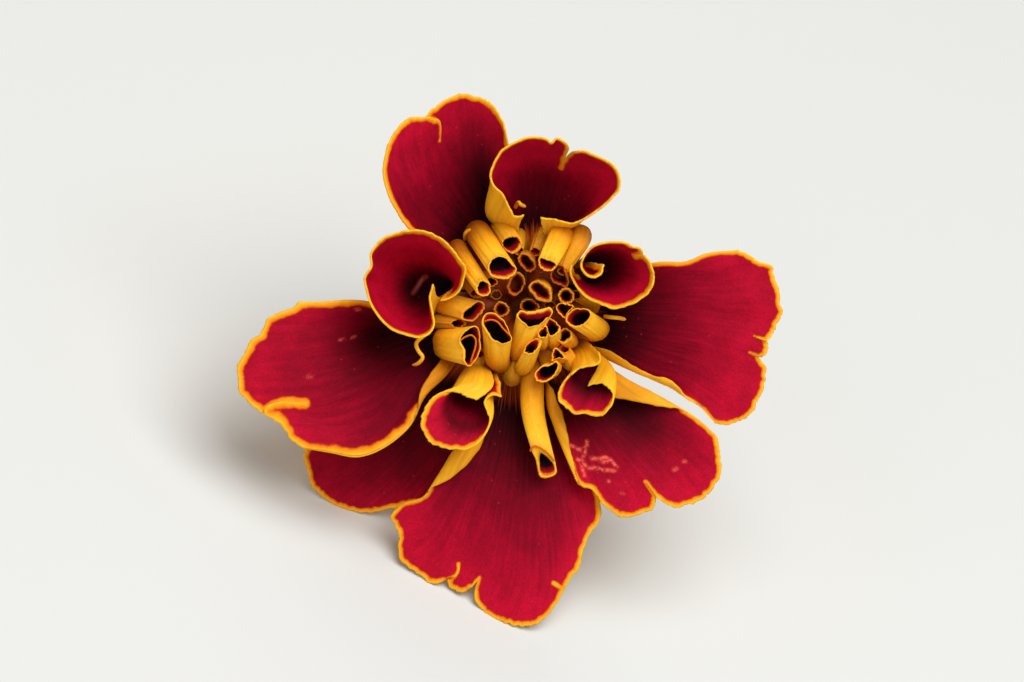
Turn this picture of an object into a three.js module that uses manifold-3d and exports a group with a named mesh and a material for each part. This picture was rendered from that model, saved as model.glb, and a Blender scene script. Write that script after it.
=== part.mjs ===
// A French marigold flower head, picked with a short stub of its stem and lying on a surface.
// It rests on three feet: the cut end of the stem and the tips of two lower petals.
//
// The flower is drawn in its own frame and then laid down as one group:
//   x, y  across the face of the flower, with +Z standing out of the face,
//   z = 0 at the mouth of the green cup (the involucre).
// All lengths are millimetres.
//
// A petal (a ray floret) is a sheet stretched between four edges: its claw in the cup, two side
// margins and the end margin. Every list of places runs clockwise side first, seen from the face.

import * as THREE from 'three';
import { mergeVertices } from 'three/addons/utils/BufferGeometryUtils.js';
import Module from 'manifold-3d';

const wasm = await Module();
wasm.setup();

// ---- Driving dimensions -------------------------------------------------------------------------

const BLADE = 0.62; // thickness of a petal
const CLAW_RING = 4.5; // radius of the ring on which the petals' claws stand
const CLAW_FOOT = -2.4; // how deep a claw reaches into the cup
const CLAW_TOP = 0.2; // height at which a claw opens into its blade
const CLAW_WIDTH = 1.05;

const FLAT_GRID = [8, 11]; // rows along a petal and columns across it
const ROLLED_GRID = [7, 16];
const CURL_STEPS = 3;
const ROLL_START = 2; // the row at which a rolled petal's tube opens
const ROLL_INSIDE = 0.2; // how far a rolled petal stands in from its middle surface; the rest is outside
const CLAW_RADIUS = 0.42; // of a rolled petal

const CUP_LENGTH = 16;
const CUP_RADIUS = 5.65; // at the mouth, outside
const CUP_RIM = -0.9; // height of the mouth between its teeth
const CUP_WALL = 0.65;
const CUP_FLOOR = -12.6; // inside floor of the cup
const CUP_RIBS = 10;
const CUP_RIB_HEIGHT = 0.14;
const CUP_TOOTH = 0.6;

const STEM_TOP_RADIUS = 1.75;
const STEM_CUT_RADIUS = 1.4;
const STEM_END = [0.3, -0.5, -28]; // centre of the cut
const STEM_STEPS = 4;
const STEM_SIDES = 14;
const PIECE_GAP = 0.3; // between pieces that touch

const CORE_RADIUS = 3.7; // bundle of the disc florets' bases
const CORE_TOP = 2.1;
const CORE_SIDES = 20;
const ROOT_RING = 2.5; // the outermost disc florets stand on this ring
const TUBE_SIDES = 8;
const TUBE_WALL = 0.36;
const BORE_DEPTH = 0.3; // share of a disc floret's length that is open

// The three feet the flower lies on: the edge of the stem's cut and two petals' tips.
const FEET = {
  stem: [0.0, -1.86, -28.0],
  petal5: [-1.4, -29.2, 3.62],
  petal6: [-16.5, -18.5, -0.82],
};
const FOOT_FLAT = 0.06; // pressed off each foot
const WORLD_PLACE = [-0.52, -1.0]; // where the flower's own origin stands over the surface

const COLOURS = {
  stem: 0x7f8f4a,
  cup: 0x6f8040,
  disc: 0xe8a21c,
  petal: 0x8c0a20,
};

// ---- Petals -------------------------------------------------------------------------------------
// claw: azimuth of the claw on its ring, in degrees.
// right, left: side margins from the claw outwards; end: the end margin from right to left.
// bulge: how far the middle of the blade's length is pushed off the straight stretch.
// flare: above 1 the blade stays narrow longer and then opens like a trumpet.
// rolled: the blade is rolled up, and its end margin runs round the mouth of the roll.
// notches: inner ends of the cuts in the end margin, in the face plane, with their half widths.
// curl: a side margin that turns back over the blade; each span is a share of the margin's length,
// the radius of the curl there and how far round it goes, in degrees.

const PETALS = {
  petal_1: {
    claw: 118,
    right: [[-2.7, 6.6, 1.1], [-2.9, 9.4, 1.8], [-2.1, 12.4, 2.9], [-1.5, 14.9, 3.9]],
    end: [
      [-1.8, 16.8, 4.7], [-3.3, 19.0, 5.3], [-5.5, 19.9, 5.9], [-7.6, 19.2, 6.5],
      [-9.0, 18.0, 7.2], [-10.7, 17.7, 7.9], [-12.0, 16.6, 8.4], [-12.7, 15.2, 8.6],
    ],
    left: [[-5.6, 5.2, 1.9], [-8.6, 6.4, 5.0], [-10.9, 7.7, 7.0], [-12.3, 10.0, 8.2], [-13.1, 12.8, 8.7]],
    bulge: [0.4, 1.0, -1.6],
    notches: [{ tip: [-8.0, 15.8], half: 1.0 }],
  },
  petal_2: {
    claw: 78,
    right: [[1.9, 6.2, 1.9], [1.8, 7.6, 4.4]],
    end: [
      [1.4, 8.4, 5.9], [3.0, 8.1, 6.3], [4.4, 7.9, 6.6], [6.2, 8.7, 7.1], [8.0, 10.2, 7.6],
      [8.7, 11.5, 7.9], [8.0, 13.3, 8.0], [6.2, 14.5, 8.0], [4.3, 14.7, 7.9], [2.9, 15.7, 7.9],
      [1.0, 16.0, 8.0], [-1.0, 15.4, 8.2], [-2.5, 14.0, 8.4], [-3.0, 12.5, 8.4],
      [-2.2, 10.7, 8.0], [-1.4, 9.2, 7.3], [-0.1, 8.6, 6.8],
    ],
    left: [[-0.4, 6.2, 1.9], [-0.7, 7.6, 4.6]],
    bulge: [0.2, 1.6, -1.4],
    flare: 0.65,
    notches: [{ tip: [3.4, 13.3], half: 0.8 }],
  },
  petal_3: {
    claw: 352,
    right: [[7.2, -1.8, 1.6], [9.0, -4.4, 2.8], [11.0, -6.0, 3.6], [13.6, -6.9, 4.2], [15.6, -8.4, 4.4]],
    end: [
      [17.9, -10.4, 4.4], [20.2, -10.1, 4.5], [21.4, -8.8, 4.6], [22.3, -6.6, 4.8], [22.3, -4.8, 4.9],
      [22.8, -3.2, 5.0], [23.2, -1.6, 5.1], [23.6, 0.6, 5.2], [23.3, 2.8, 5.5], [22.2, 4.4, 5.7],
      [19.6, 5.4, 5.9],
    ],
    left: [[6.8, 1.6, 1.4], [9.2, 3.4, 3.2], [12.2, 4.3, 4.7], [15.6, 4.7, 5.5]],
    bulge: [0, 0, 0.7],
    notches: [{ tip: [20.9, -3.9], half: 0.7 }, { tip: [21.3, -2.4], half: 0.5 }],
  },
  petal_4: {
    claw: 304,
    right: [[2.3, -7.0, 1.9], [2.5, -9.2, 3.1], [3.2, -11.2, 4.0], [4.0, -13.6, 4.3]],
    end: [
      [5.1, -16.3, 4.4], [6.8, -17.2, 4.4], [9.0, -19.0, 4.3], [11.9, -18.4, 4.4], [14.3, -18.3, 4.5],
      [16.7, -17.3, 4.5], [18.1, -15.0, 4.5], [18.1, -13.0, 4.5], [17.6, -11.4, 4.5],
    ],
    left: [[4.9, -4.9, 0.8], [7.6, -6.6, 1.6], [10.2, -7.9, 2.6], [13.2, -8.9, 3.5], [15.8, -10.0, 4.2]],
    bulge: [0, 0, 0.2],
    notches: [{ tip: [11.2, -15.9], half: 0.9 }],
    curl: {
      side: 'left',
      spans: [
        [0, 0.7, 20], [0.25, 0.8, 40], [0.4, 1.1, 150], [0.55, 1.0, 150], [0.75, 0.7, 60], [1, 0.7, 20],
      ],
    },
  },
  petal_5: {
    claw: 262,
    isFoot: true,
    right: [
      [-1.9, -7.2, 1.5], [-3.8, -10.2, 2.8], [-6.2, -12.8, 3.8], [-8.1, -15.8, 4.3], [-9.8, -17.8, 4.2],
    ],
    end: [
      [-12.1, -18.7, 3.9], [-11.8, -20.6, 3.7], [-11.8, -22.8, 3.5], [-9.8, -24.5, 3.3],
      [-7.4, -25.7, 3.3], [-5.2, -26.6, 3.5], [-3.2, -28.4, 3.8], [-0.3, -29.4, 4.0],
      [2.0, -28.4, 3.9], [3.6, -26.2, 3.7], [4.9, -24.4, 3.5], [5.5, -22.0, 3.2], [7.0, -19.9, 2.8],
    ],
    left: [[1.0, -7.0, 0.7], [2.9, -10.0, 1.3], [4.6, -13.4, 1.8], [6.2, -16.8, 2.3]],
    bulge: [0, 0, 0.7],
    notches: [{ tip: [-6.3, -23.6], half: 0.6 }, { tip: [-4.2, -24.8], half: 0.9 }],
  },
  petal_6: {
    claw: 216,
    isFoot: true,
    right: [[-6.6, -4.6, 1.1], [-10.6, -7.6, 1.6], [-15.0, -10.4, 1.6]],
    end: [
      [-20.2, -13.0, 1.1], [-20.3, -15.0, 0.6], [-19.1, -17.0, 0.0], [-17.0, -18.4, -0.5],
      [-14.5, -18.8, -0.4], [-12.4, -18.5, 0.0], [-10.6, -17.6, 0.5],
    ],
    left: [[-4.9, -6.4, 1.0], [-6.0, -9.6, 1.4], [-7.6, -13.6, 1.3]],
    bulge: [0, 0, 0.3],
    notches: [],
  },
  petal_7: {
    claw: 192,
    right: [[-7.0, -1.5, 1.4], [-10.0, -1.7, 2.7], [-13.0, -0.3, 4.2], [-16.2, 0.8, 5.2], [-18.8, 0.6, 5.6]],
    end: [
      [-21.3, 0.4, 5.7], [-23.8, -1.0, 6.1], [-25.4, -3.0, 6.6], [-26.5, -5.2, 7.0], [-26.2, -7.8, 7.5],
      [-24.4, -9.7, 7.9], [-22.8, -10.3, 8.3], [-21.6, -11.8, 8.6], [-20.2, -12.7, 8.8],
    ],
    left: [
      [-6.4, -3.9, 1.9], [-7.6, -5.9, 4.1], [-9.5, -8.0, 6.3], [-10.8, -10.8, 7.9],
      [-13.2, -12.8, 8.9], [-15.5, -13.6, 9.2], [-18.0, -13.2, 9.1],
    ],
    bulge: [0, 0.6, -1.4],
    notches: [{ tip: [-20.6, -8.8], half: 0.7 }],
  },
  trumpet_a: {
    claw: 158,
    right: [[-6.2, 1.9, 1.9], [-7.2, 1.6, 4.6]],
    end: [
      [-7.6, 1.1, 6.4], [-6.3, 1.7, 6.9], [-5.7, 3.6, 7.4], [-7.1, 5.9, 8.4], [-9.8, 7.2, 9.3],
      [-12.4, 6.8, 9.8], [-14.2, 5.2, 10.0], [-14.7, 2.8, 10.1], [-14.0, 0.2, 10.0], [-12.2, -1.8, 9.8],
      [-9.8, -2.4, 9.4], [-8.6, -1.4, 9.0], [-8.8, 0.6, 8.3], [-8.6, 2.1, 7.8],
    ],
    left: [[-6.6, 1.0, 1.9], [-8.2, 1.1, 5.0]],
    bulge: [-2.2, 0.1, -1.8],
    flare: 1.2,
    rolled: true,
    notches: [],
  },
  trumpet_b: {
    claw: 238,
    right: [[-3.6, -4.9, 2.6], [-3.7, -6.4, 6.4]],
    end: [
      [-4.5, -8.1, 8.4], [-6.4, -7.6, 8.8], [-8.2, -8.0, 9.0], [-9.3, -9.6, 9.2], [-9.1, -11.4, 9.3],
      [-7.8, -12.6, 9.3], [-5.6, -12.8, 9.2], [-3.8, -11.8, 9.0], [-3.2, -10.1, 8.7], [-3.3, -8.6, 8.3],
      [-2.3, -8.1, 7.9],
    ],
    left: [[-2.7, -5.2, 2.2], [-2.4, -6.8, 5.4]],
    bulge: [0.1, -0.4, 1.2],
    flare: 0.6,
    rolled: true,
    notches: [],
  },
  trumpet_c: {
    claw: 40,
    right: [[4.9, 3.2, 2.0], [4.6, 3.3, 4.8]],
    end: [
      [4.3, 3.1, 6.5], [5.0, 1.9, 6.9], [6.4, 0.9, 7.3], [8.4, 0.2, 7.8], [10.6, 1.0, 8.2],
      [11.8, 2.6, 8.5], [11.4, 4.9, 8.5], [10.2, 5.8, 8.4], [8.0, 6.2, 8.3], [6.1, 5.7, 8.2],
      [5.3, 4.2, 8.1], [6.3, 3.2, 8.0], [7.0, 3.9, 7.8],
    ],
    left: [[5.1, 4.2, 2.4], [6.2, 4.3, 5.6]],
    bulge: [1.0, 0.5, 0.6],
    flare: 0.85,
    rolled: true,
    notches: [],
  },
  trumpet_d: {
    claw: 329,
    right: [[5.3, -2.8, 2.6], [6.4, -3.6, 5.2]],
    end: [
      [6.8, -4.8, 7.0], [5.2, -5.4, 7.0], [3.8, -6.5, 7.0], [3.2, -8.1, 7.0], [4.4, -9.4, 7.1],
      [6.8, -9.7, 7.3], [8.0, -8.2, 7.1], [7.4, -7.0, 6.7], [6.1, -6.9, 6.1],
    ],
    left: [[5.7, -3.5, 2.4], [6.9, -4.9, 4.4]],
    bulge: [0.4, -0.3, 0.6],
    flare: 0.7,
    rolled: true,
    notches: [],
  },
};

// ---- Disc florets -------------------------------------------------------------------------------
// mouth: centre of the open mouth; across: its two half widths and the turn of the first, in degrees;
// back: the outermost place that the tube bends through on its way up; body: its radius there.

const QUILL = {
  claw: 281,
  knee: [0.75, -5.6, 2.6],
  back: [0.7, -9.4, 4.4],
  mouth: [1.9, -14.3, 5.4],
  across: [1.25, 1.0, 80],
  body: 1.1,
};

const DISC_FLORETS = [
  { mouth: [-1.3, 6.2, 6.0], across: [1.0, 0.8, 35], back: [-2.0, 6.6, 3.4] },
  { mouth: [-2.2, 3.9, 7.5], across: [1.25, 1.05, -10], back: [-3.9, 6.2, 4.2] },
  { mouth: [-3.9, 2.1, 7.0], across: [0.8, 0.7, 40], back: [-5.4, 4.4, 4.2] },
  { mouth: [0.15, 4.6, 5.6], across: [0.95, 0.7, -70], back: [0.2, 4.7, 3.0] },
  { mouth: [-0.85, 2.4, 5.2], across: [1.05, 0.8, 80], back: [-0.9, 2.5, 2.6] },
  { mouth: [1.5, 1.9, 6.0], across: [1.2, 0.75, -40], back: [1.5, 2.0, 3.0] },
  { mouth: [2.1, 4.3, 7.0], across: [0.85, 0.65, -25], back: [3.3, 6.4, 4.3], body: 1.2 },
  { mouth: [3.2, 3.3, 5.8], across: [0.95, 0.75, -65], back: [3.1, 3.4, 3.0] },
  { mouth: [3.8, 1.3, 6.0], across: [0.8, 0.75, 0], back: [3.7, 1.3, 3.0] },
  { mouth: [0.3, 0.5, 5.0], across: [0.9, 0.7, -20], back: [0.3, 0.5, 2.6] },
  { mouth: [-2.2, 0.0, 5.2], across: [0.8, 0.75, 60], back: [-2.3, 0.0, 2.6] },
  { mouth: [-4.7, -0.1, 6.1], across: [1.15, 0.8, 40], back: [-6.1, 0.2, 3.6] },
  { mouth: [0.9, -0.6, 7.4], across: [1.7, 0.85, 5], back: [0.0, -3.4, 4.4] },
  { mouth: [2.6, -1.7, 6.8], across: [0.9, 0.75, -60], back: [2.6, -2.9, 3.8] },
  { mouth: [0.9, -3.3, 6.6], across: [0.75, 0.65, 60], back: [0.8, -4.3, 3.6] },
  { mouth: [-2.6, -1.8, 7.8], across: [1.6, 0.95, -52], back: [-2.4, -4.3, 4.4], body: 1.05 },
  { mouth: [-5.0, -3.2, 7.7], across: [1.85, 0.95, 78], back: [-6.4, -2.6, 4.2] },
  { mouth: [5.0, -0.7, 7.2], across: [1.15, 0.9, 15], back: [5.9, -1.2, 4.4] },
  { mouth: [3.7, 0.1, 6.4], across: [0.75, 0.65, 0], back: [3.9, 0.1, 3.4] },
  { mouth: [3.6, -2.5, 6.0], across: [0.8, 0.65, 60], back: [4.2, -2.9, 3.2] },
  { mouth: [2.1, -5.5, 6.5], across: [1.25, 0.8, 40], back: [2.7, -5.0, 3.6] },
];

// ---- Small geometry helpers ---------------------------------------------------------------------

const vector = (place) => new THREE.Vector3(...place);
const radians = THREE.MathUtils.degToRad;

function curveThrough(places) {
  return new THREE.CatmullRomCurve3(places.map(vector), false, 'centripetal');
}

function mix(a, b, share) {
  return a.clone().lerp(b, share);
}

/** A closed geometry from a list of places and a list of triangles. */
function geometryOf(places, triangles) {
  const geometry = new THREE.BufferGeometry();
  const numbers = places.flatMap((place) => [place.x, place.y, place.z]);
  geometry.setAttribute('position', new THREE.Float32BufferAttribute(numbers, 3));
  geometry.setIndex(triangles.flat());
  return geometry;
}

function solidOf(geometry) {
  const merged = mergeVertices(geometry, 1e-4);
  return new wasm.Manifold(
    new wasm.Mesh({
      numProp: 3,
      vertProperties: new Float32Array(merged.attributes.position.array),
      triVerts: new Uint32Array(merged.index.array),
    }),
  );
}

/** The outer body of a fused solid: sealed hollows are filled and loose scraps dropped. */
function geometryOfSolid(solid) {
  const outer = solid.decompose().reduce((a, b) => (b.volume() > a.volume() ? b : a));
  const mesh = outer.getMesh();
  const geometry = new THREE.BufferGeometry();
  geometry.setAttribute('position', new THREE.BufferAttribute(mesh.vertProperties, 3));
  geometry.setIndex(new THREE.BufferAttribute(mesh.triVerts, 1));
  return geometry;
}

// ---- Sheets -------------------------------------------------------------------------------------

/** The upper normal of a grid of places, from its neighbours along (rows) and across (columns). */
function gridNormal(grid, row, column) {
  const rows = grid.length - 1;
  const columns = grid[0].length - 1;
  const along = grid[Math.min(row + 1, rows)][column].clone().sub(grid[Math.max(row - 1, 0)][column]);
  const across = grid[row][Math.min(column + 1, columns)].clone().sub(grid[row][Math.max(column - 1, 0)]);
  return along.cross(across).normalize();
}

/** A closed sheet that stands above and below a grid of places, with both faces split alike. */
function thickSheet(grid, above, below) {
  const rows = grid.length;
  const columns = grid[0].length;
  const places = [];
  for (const height of [above, -below]) {
    grid.forEach((line, row) => line.forEach((place, column) => {
      places.push(place.clone().addScaledVector(gridNormal(grid, row, column), height));
    }));
  }
  const at = (face, row, column) => (face * rows + row) * columns + column;
  const triangles = [];
  for (let row = 0; row < rows - 1; row += 1) {
    for (let column = 0; column < columns - 1; column += 1) {
      const corners = [[row, column], [row + 1, column], [row + 1, column + 1], [row, column + 1]];
      const upper = corners.map(([r, c]) => at(0, r, c));
      const lower = corners.map(([r, c]) => at(1, r, c));
      triangles.push([upper[0], upper[1], upper[2]], [upper[0], upper[2], upper[3]]);
      triangles.push([lower[0], lower[2], lower[1]], [lower[0], lower[3], lower[2]]);
    }
  }
  const rim = [];
  for (let column = 0; column < columns - 1; column += 1) rim.push([0, column]);
  for (let row = 0; row < rows - 1; row += 1) rim.push([row, columns - 1]);
  for (let column = columns - 1; column > 0; column -= 1) rim.push([rows - 1, column]);
  for (let row = rows - 1; row > 0; row -= 1) rim.push([row, 0]);
  rim.forEach(([row, column], i) => {
    const [nextRow, nextColumn] = rim[(i + 1) % rim.length];
    const [a, b] = [at(0, row, column), at(0, nextRow, nextColumn)];
    const [c, d] = [at(1, row, column), at(1, nextRow, nextColumn)];
    triangles.push([a, b, d], [a, d, c]);
  });
  return geometryOf(places, triangles);
}

// ---- Petals -------------------------------------------------------------------------------------

/** A place on the claw's cross-section: share 0 is its clockwise edge and 1 the other. */
function clawPlace(petal, share, height) {
  const azimuth = radians(petal.claw);
  const sideways = (share - 0.5) * CLAW_WIDTH;
  return new THREE.Vector3(
    CLAW_RING * Math.cos(azimuth) - sideways * Math.sin(azimuth),
    CLAW_RING * Math.sin(azimuth) + sideways * Math.cos(azimuth),
    height,
  );
}

/** The blade as a function of its share across and along, stretched between its four edges. */
function bladeSurface(petal) {
  const end = curveThrough(petal.end);
  const [first, last] = [petal.end[0], petal.end[petal.end.length - 1]];
  const right = curveThrough([clawPlace(petal, 0, CLAW_TOP).toArray(), ...petal.right, first]);
  const left = curveThrough([clawPlace(petal, 1, CLAW_TOP).toArray(), ...petal.left, last]);
  const bulge = vector(petal.bulge);
  const flare = petal.flare ?? 1;
  return (across, along) => {
    const open = along ** flare;
    const place = mix(clawPlace(petal, across, CLAW_TOP), end.getPointAt(across), open);
    const straightRight = mix(clawPlace(petal, 0, CLAW_TOP), end.getPointAt(0), open);
    const straightLeft = mix(clawPlace(petal, 1, CLAW_TOP), end.getPointAt(1), open);
    place.addScaledVector(right.getPointAt(along).sub(straightRight), 1 - across);
    place.addScaledVector(left.getPointAt(along).sub(straightLeft), across);
    const middle = 4 * across * (1 - across);
    return place.addScaledVector(bulge, middle * 4 * along * (1 - along));
  };
}

/** Where a notch's inner end lies on the blade, as shares across and along. */
function notchPlace(surface, tip) {
  let best = { distance: Infinity };
  for (let across = 0.02; across < 0.99; across += 0.01) {
    for (let along = 0.5; along < 1; along += 0.02) {
      const place = surface(across, along);
      const distance = Math.hypot(place.x - tip[0], place.y - tip[1]);
      if (distance < best.distance) best = { distance, across, along };
    }
  }
  return best;
}

/** The petal's middle surface: rows from the claw's foot to the end margin, notches cut in. */
function petalGrid(petal, rowCount, columnCount) {
  const surface = bladeSurface(petal);
  const marginLength = curveThrough(petal.end).getLength();
  const notches = petal.notches.map((notch) => {
    const { across, along } = notchPlace(surface, notch.tip);
    return { across, depth: 1 - along, half: notch.half / marginLength };
  });
  const shares = new Set();
  for (let i = 0; i <= columnCount; i += 1) shares.add(i / columnCount);
  for (const { across, half } of notches) {
    for (const share of [...shares]) {
      if (share > 0 && share < 1 && Math.abs(share - across) < 1.3 * half) shares.delete(share);
    }
    for (const offset of [-half, 0, half]) shares.add(across + offset);
  }
  const columns = [...shares].sort((a, b) => a - b);
  const reach = (across) => {
    const cut = notches.map((n) => n.depth * Math.max(0, 1 - Math.abs(across - n.across) / n.half));
    return Math.max(0, ...cut);
  };
  const grid = [CLAW_FOOT].map((height) => columns.map((across) => clawPlace(petal, across, height)));
  for (let row = 0; row <= rowCount; row += 1) {
    const along = row / rowCount;
    grid.push(columns.map((across) => surface(across, along - reach(across) * along ** 3)));
  }
  return grid;
}

/** Carries a side margin on into a curl that turns up and back over the blade. */
function withCurl(grid, curl) {
  const atLeft = curl.side === 'left';
  const edge = atLeft ? grid[0].length - 1 : 0;
  const inner = atLeft ? edge - 1 : 1;
  return grid.map((line, row) => {
    const along = Math.max(0, row - 1) / (grid.length - 2);
    const [radius, turn] = curlAt(curl.spans, along);
    const up = gridNormal(grid, row, edge);
    const margin = grid[Math.min(row + 1, grid.length - 1)][edge].clone();
    margin.sub(grid[Math.max(row - 1, 0)][edge]).normalize();
    const out = margin.clone().cross(up).normalize();
    if (out.dot(line[edge].clone().sub(line[inner])) < 0) out.negate();
    const strip = [];
    for (let i = 1; i <= CURL_STEPS; i += 1) {
      const angle = radians((turn * i) / CURL_STEPS);
      const place = line[edge].clone().addScaledVector(out, radius * Math.sin(angle));
      strip.push(place.addScaledVector(up, radius * (1 - Math.cos(angle))));
    }
    return atLeft ? [...line, ...strip] : [...strip.reverse(), ...line];
  });
}

/** Radius and turn of a curl at a share along the margin. */
function curlAt(spans, along) {
  const next = Math.max(1, spans.findIndex(([share]) => share >= along));
  const [from, to] = [spans[next - 1], spans[next]];
  const share = (along - from[0]) / (to[0] - from[0]);
  return [1, 2].map((i) => from[i] + (to[i] - from[i]) * share);
}

/** Centre of a row of places and their mean distance from it. */
function rowCircle(line) {
  const centre = line.reduce((sum, place) => sum.add(place), new THREE.Vector3()).divideScalar(line.length);
  const radius = line.reduce((sum, place) => sum + place.distanceTo(centre), 0) / line.length;
  return [centre, radius];
}

/** The closed tube at the foot of a rolled petal, from its claw to where the roll opens. */
function petalTube(petal, grid) {
  const [mouth, mouthRadius] = rowCircle(grid[0]);
  const [beyond] = rowCircle(grid[1]);
  const azimuth = radians(petal.claw);
  const [x, y] = [CLAW_RING * Math.cos(azimuth), CLAW_RING * Math.sin(azimuth)];
  const claw = (height) => new THREE.Vector3(x, y, height);
  const stations = [
    [claw(CLAW_FOOT), claw(CLAW_TOP), CLAW_RADIUS],
    [claw(CLAW_TOP), mouth, CLAW_RADIUS],
    [mouth, beyond, mouthRadius + BLADE / 2],
    [mix(mouth, beyond, 0.3), beyond, mouthRadius],
  ];
  return skinOf(stations.map(([centre, ahead, radius]) => {
    const direction = ahead.clone().sub(centre).normalize();
    const turn = new THREE.Quaternion().setFromUnitVectors(new THREE.Vector3(0, 0, 1), direction);
    const level = levelRing(new THREE.Vector3(), radius, TUBE_SIDES);
    return level.map((place) => place.applyQuaternion(turn).add(centre));
  }));
}

function rolledGeometry(petal) {
  const [rows, columns] = ROLLED_GRID;
  const grid = petalGrid(petal, rows, columns).slice(1 + ROLL_START);
  const roll = solidOf(thickSheet(grid, ROLL_INSIDE, BLADE - ROLL_INSIDE));
  return geometryOfSolid(roll.add(solidOf(petalTube(petal, grid))));
}

function petalGeometry(petal) {
  if (petal.rolled) return rolledGeometry(petal);
  const grid = petalGrid(petal, ...FLAT_GRID);
  return thickSheet(petal.curl ? withCurl(grid, petal.curl) : grid, BLADE / 2, BLADE / 2);
}

// ---- Tubular florets ----------------------------------------------------------------------------

/** The ring of a tube at a share of its length, drawn in by a wall's thickness. */
function tubeRing(axis, floret, share, inset) {
  const centre = axis.getPointAt(share);
  const along = axis.getTangentAt(share);
  const sideways = new THREE.Vector3(1, 0, 0).addScaledVector(along, -along.x).normalize();
  const upwards = along.clone().cross(sideways);
  const [halfLong, halfWide, turn] = floret.across;
  const round = (floret.body ?? 0.5 * (halfLong + halfWide)) * Math.min(1, 0.5 + share);
  const open = share ** 3; // how far the round body has taken the mouth's outline
  const ring = [];
  for (let i = 0; i < TUBE_SIDES; i += 1) {
    const angle = (2 * Math.PI * i) / TUBE_SIDES;
    const body = sideways.clone().multiplyScalar((round - inset) * Math.cos(angle));
    body.addScaledVector(upwards, (round - inset) * Math.sin(angle));
    const onMouth = angle - radians(turn);
    const [long, wide] = [(halfLong - inset) * Math.cos(onMouth), (halfWide - inset) * Math.sin(onMouth)];
    const mouth = new THREE.Vector3(long, wide, 0).applyAxisAngle(new THREE.Vector3(0, 0, 1), radians(turn));
    ring.push(centre.clone().add(body.lerp(mouth, open)));
  }
  return ring;
}

/** A closed skin over a run of rings, capped at both ends. */
function skinOf(rings) {
  const sides = rings[0].length;
  const places = rings.flat();
  const triangles = [];
  for (let ring = 0; ring < rings.length - 1; ring += 1) {
    for (let i = 0; i < sides; i += 1) {
      const next = (i + 1) % sides;
      const [a, b] = [ring * sides + i, ring * sides + next];
      triangles.push([a, b, b + sides], [a, b + sides, a + sides]);
    }
  }
  const lastRing = (rings.length - 1) * sides;
  for (let i = 1; i < sides - 1; i += 1) {
    triangles.push([0, i + 1, i], [lastRing, lastRing + i, lastRing + i + 1]);
  }
  return geometryOf(places, triangles);
}

/** One tubular floret: rings up its outside, over the lip and down to the floor of its bore. */
function tubeGeometry(floret, root, shares) {
  const axis = curveThrough([root, floret.knee, floret.back, floret.mouth]);
  const rings = shares.map((share) => tubeRing(axis, floret, share, 0));
  rings.push(tubeRing(axis, floret, 1, TUBE_WALL));
  rings.push(tubeRing(axis, floret, 1 - BORE_DEPTH, TUBE_WALL));
  return skinOf(rings);
}

/** A place straight in from where a disc floret bends outwards, on the ring of their roots. */
function overRoot({ back }, height) {
  const shrink = Math.min(0.9, ROOT_RING / Math.hypot(back[0], back[1]));
  return [back[0] * shrink, back[1] * shrink, height];
}

/** A level ring of places around a centre. */
function levelRing(centre, radius, sides) {
  const ring = [];
  for (let i = 0; i < sides; i += 1) {
    const angle = (2 * Math.PI * i) / sides;
    ring.push(new THREE.Vector3(radius * Math.cos(angle), radius * Math.sin(angle), 0).add(centre));
  }
  return ring;
}

/** The bundle of floret bases that fills the cup: a turned body with a low dome on top. */
function coreGeometry() {
  const profile = [
    [2.6, CUP_FLOOR + PIECE_GAP], [CORE_RADIUS, -8], [CORE_RADIUS, 0], [2.6, 1.4], [0.8, CORE_TOP],
  ];
  const centre = (height) => new THREE.Vector3(0, 0, height);
  return skinOf(profile.map(([radius, height]) => levelRing(centre(height), radius, CORE_SIDES)));
}

function discGeometry() {
  let disc = solidOf(coreGeometry());
  for (const floret of DISC_FLORETS) {
    const standing = { ...floret, knee: overRoot(floret, CORE_TOP) };
    disc = disc.add(solidOf(tubeGeometry(standing, overRoot(floret, 0), [0, 0.3, 0.55, 0.8, 1])));
  }
  return geometryOfSolid(disc);
}

/** The long quilled floret: a closed tube that stands on the claw ring like the petals. */
function quillGeometry() {
  const azimuth = radians(QUILL.claw);
  const root = [CLAW_RING * Math.cos(azimuth), CLAW_RING * Math.sin(azimuth), CLAW_TOP];
  return tubeGeometry(QUILL, root, [0, 0.12, 0.3, 0.55, 0.8, 1]);
}

// ---- Cup and stem -------------------------------------------------------------------------------

/** The green cup: a ribbed wall with a toothed mouth, closed at the foot, open at the top. */
function cupGeometry() {
  const outside = [
    [1.9, -CUP_LENGTH], [2.9, -15.2], [4.2, -13], [5.1, -9.5], [5.5, -5], [CUP_RADIUS, -2.2],
    [CUP_RADIUS, CUP_RIM],
  ];
  const inside = [
    [CUP_RADIUS - CUP_WALL, CUP_RIM], [CUP_RADIUS - CUP_WALL, -3], [4.75, -6], [4.2, -10], [3.1, CUP_FLOOR],
  ];
  const profile = [...outside, ...inside];
  const steps = CUP_RIBS * 2;
  const rings = profile.map(([radius, height], index) => {
    const onRim = height === CUP_RIM;
    const ribbed = index > 0 && index < outside.length - 1;
    const ring = [];
    for (let i = 0; i < steps; i += 1) {
      const angle = (2 * Math.PI * i) / steps;
      const wave = i % 2 === 0 ? 1 : -1;
      const out = radius + (ribbed ? wave * CUP_RIB_HEIGHT : 0);
      const lift = onRim && wave > 0 ? CUP_TOOTH : 0;
      ring.push(new THREE.Vector3(out * Math.cos(angle), out * Math.sin(angle), height + lift));
    }
    return ring;
  });
  return skinOf(rings);
}

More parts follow.
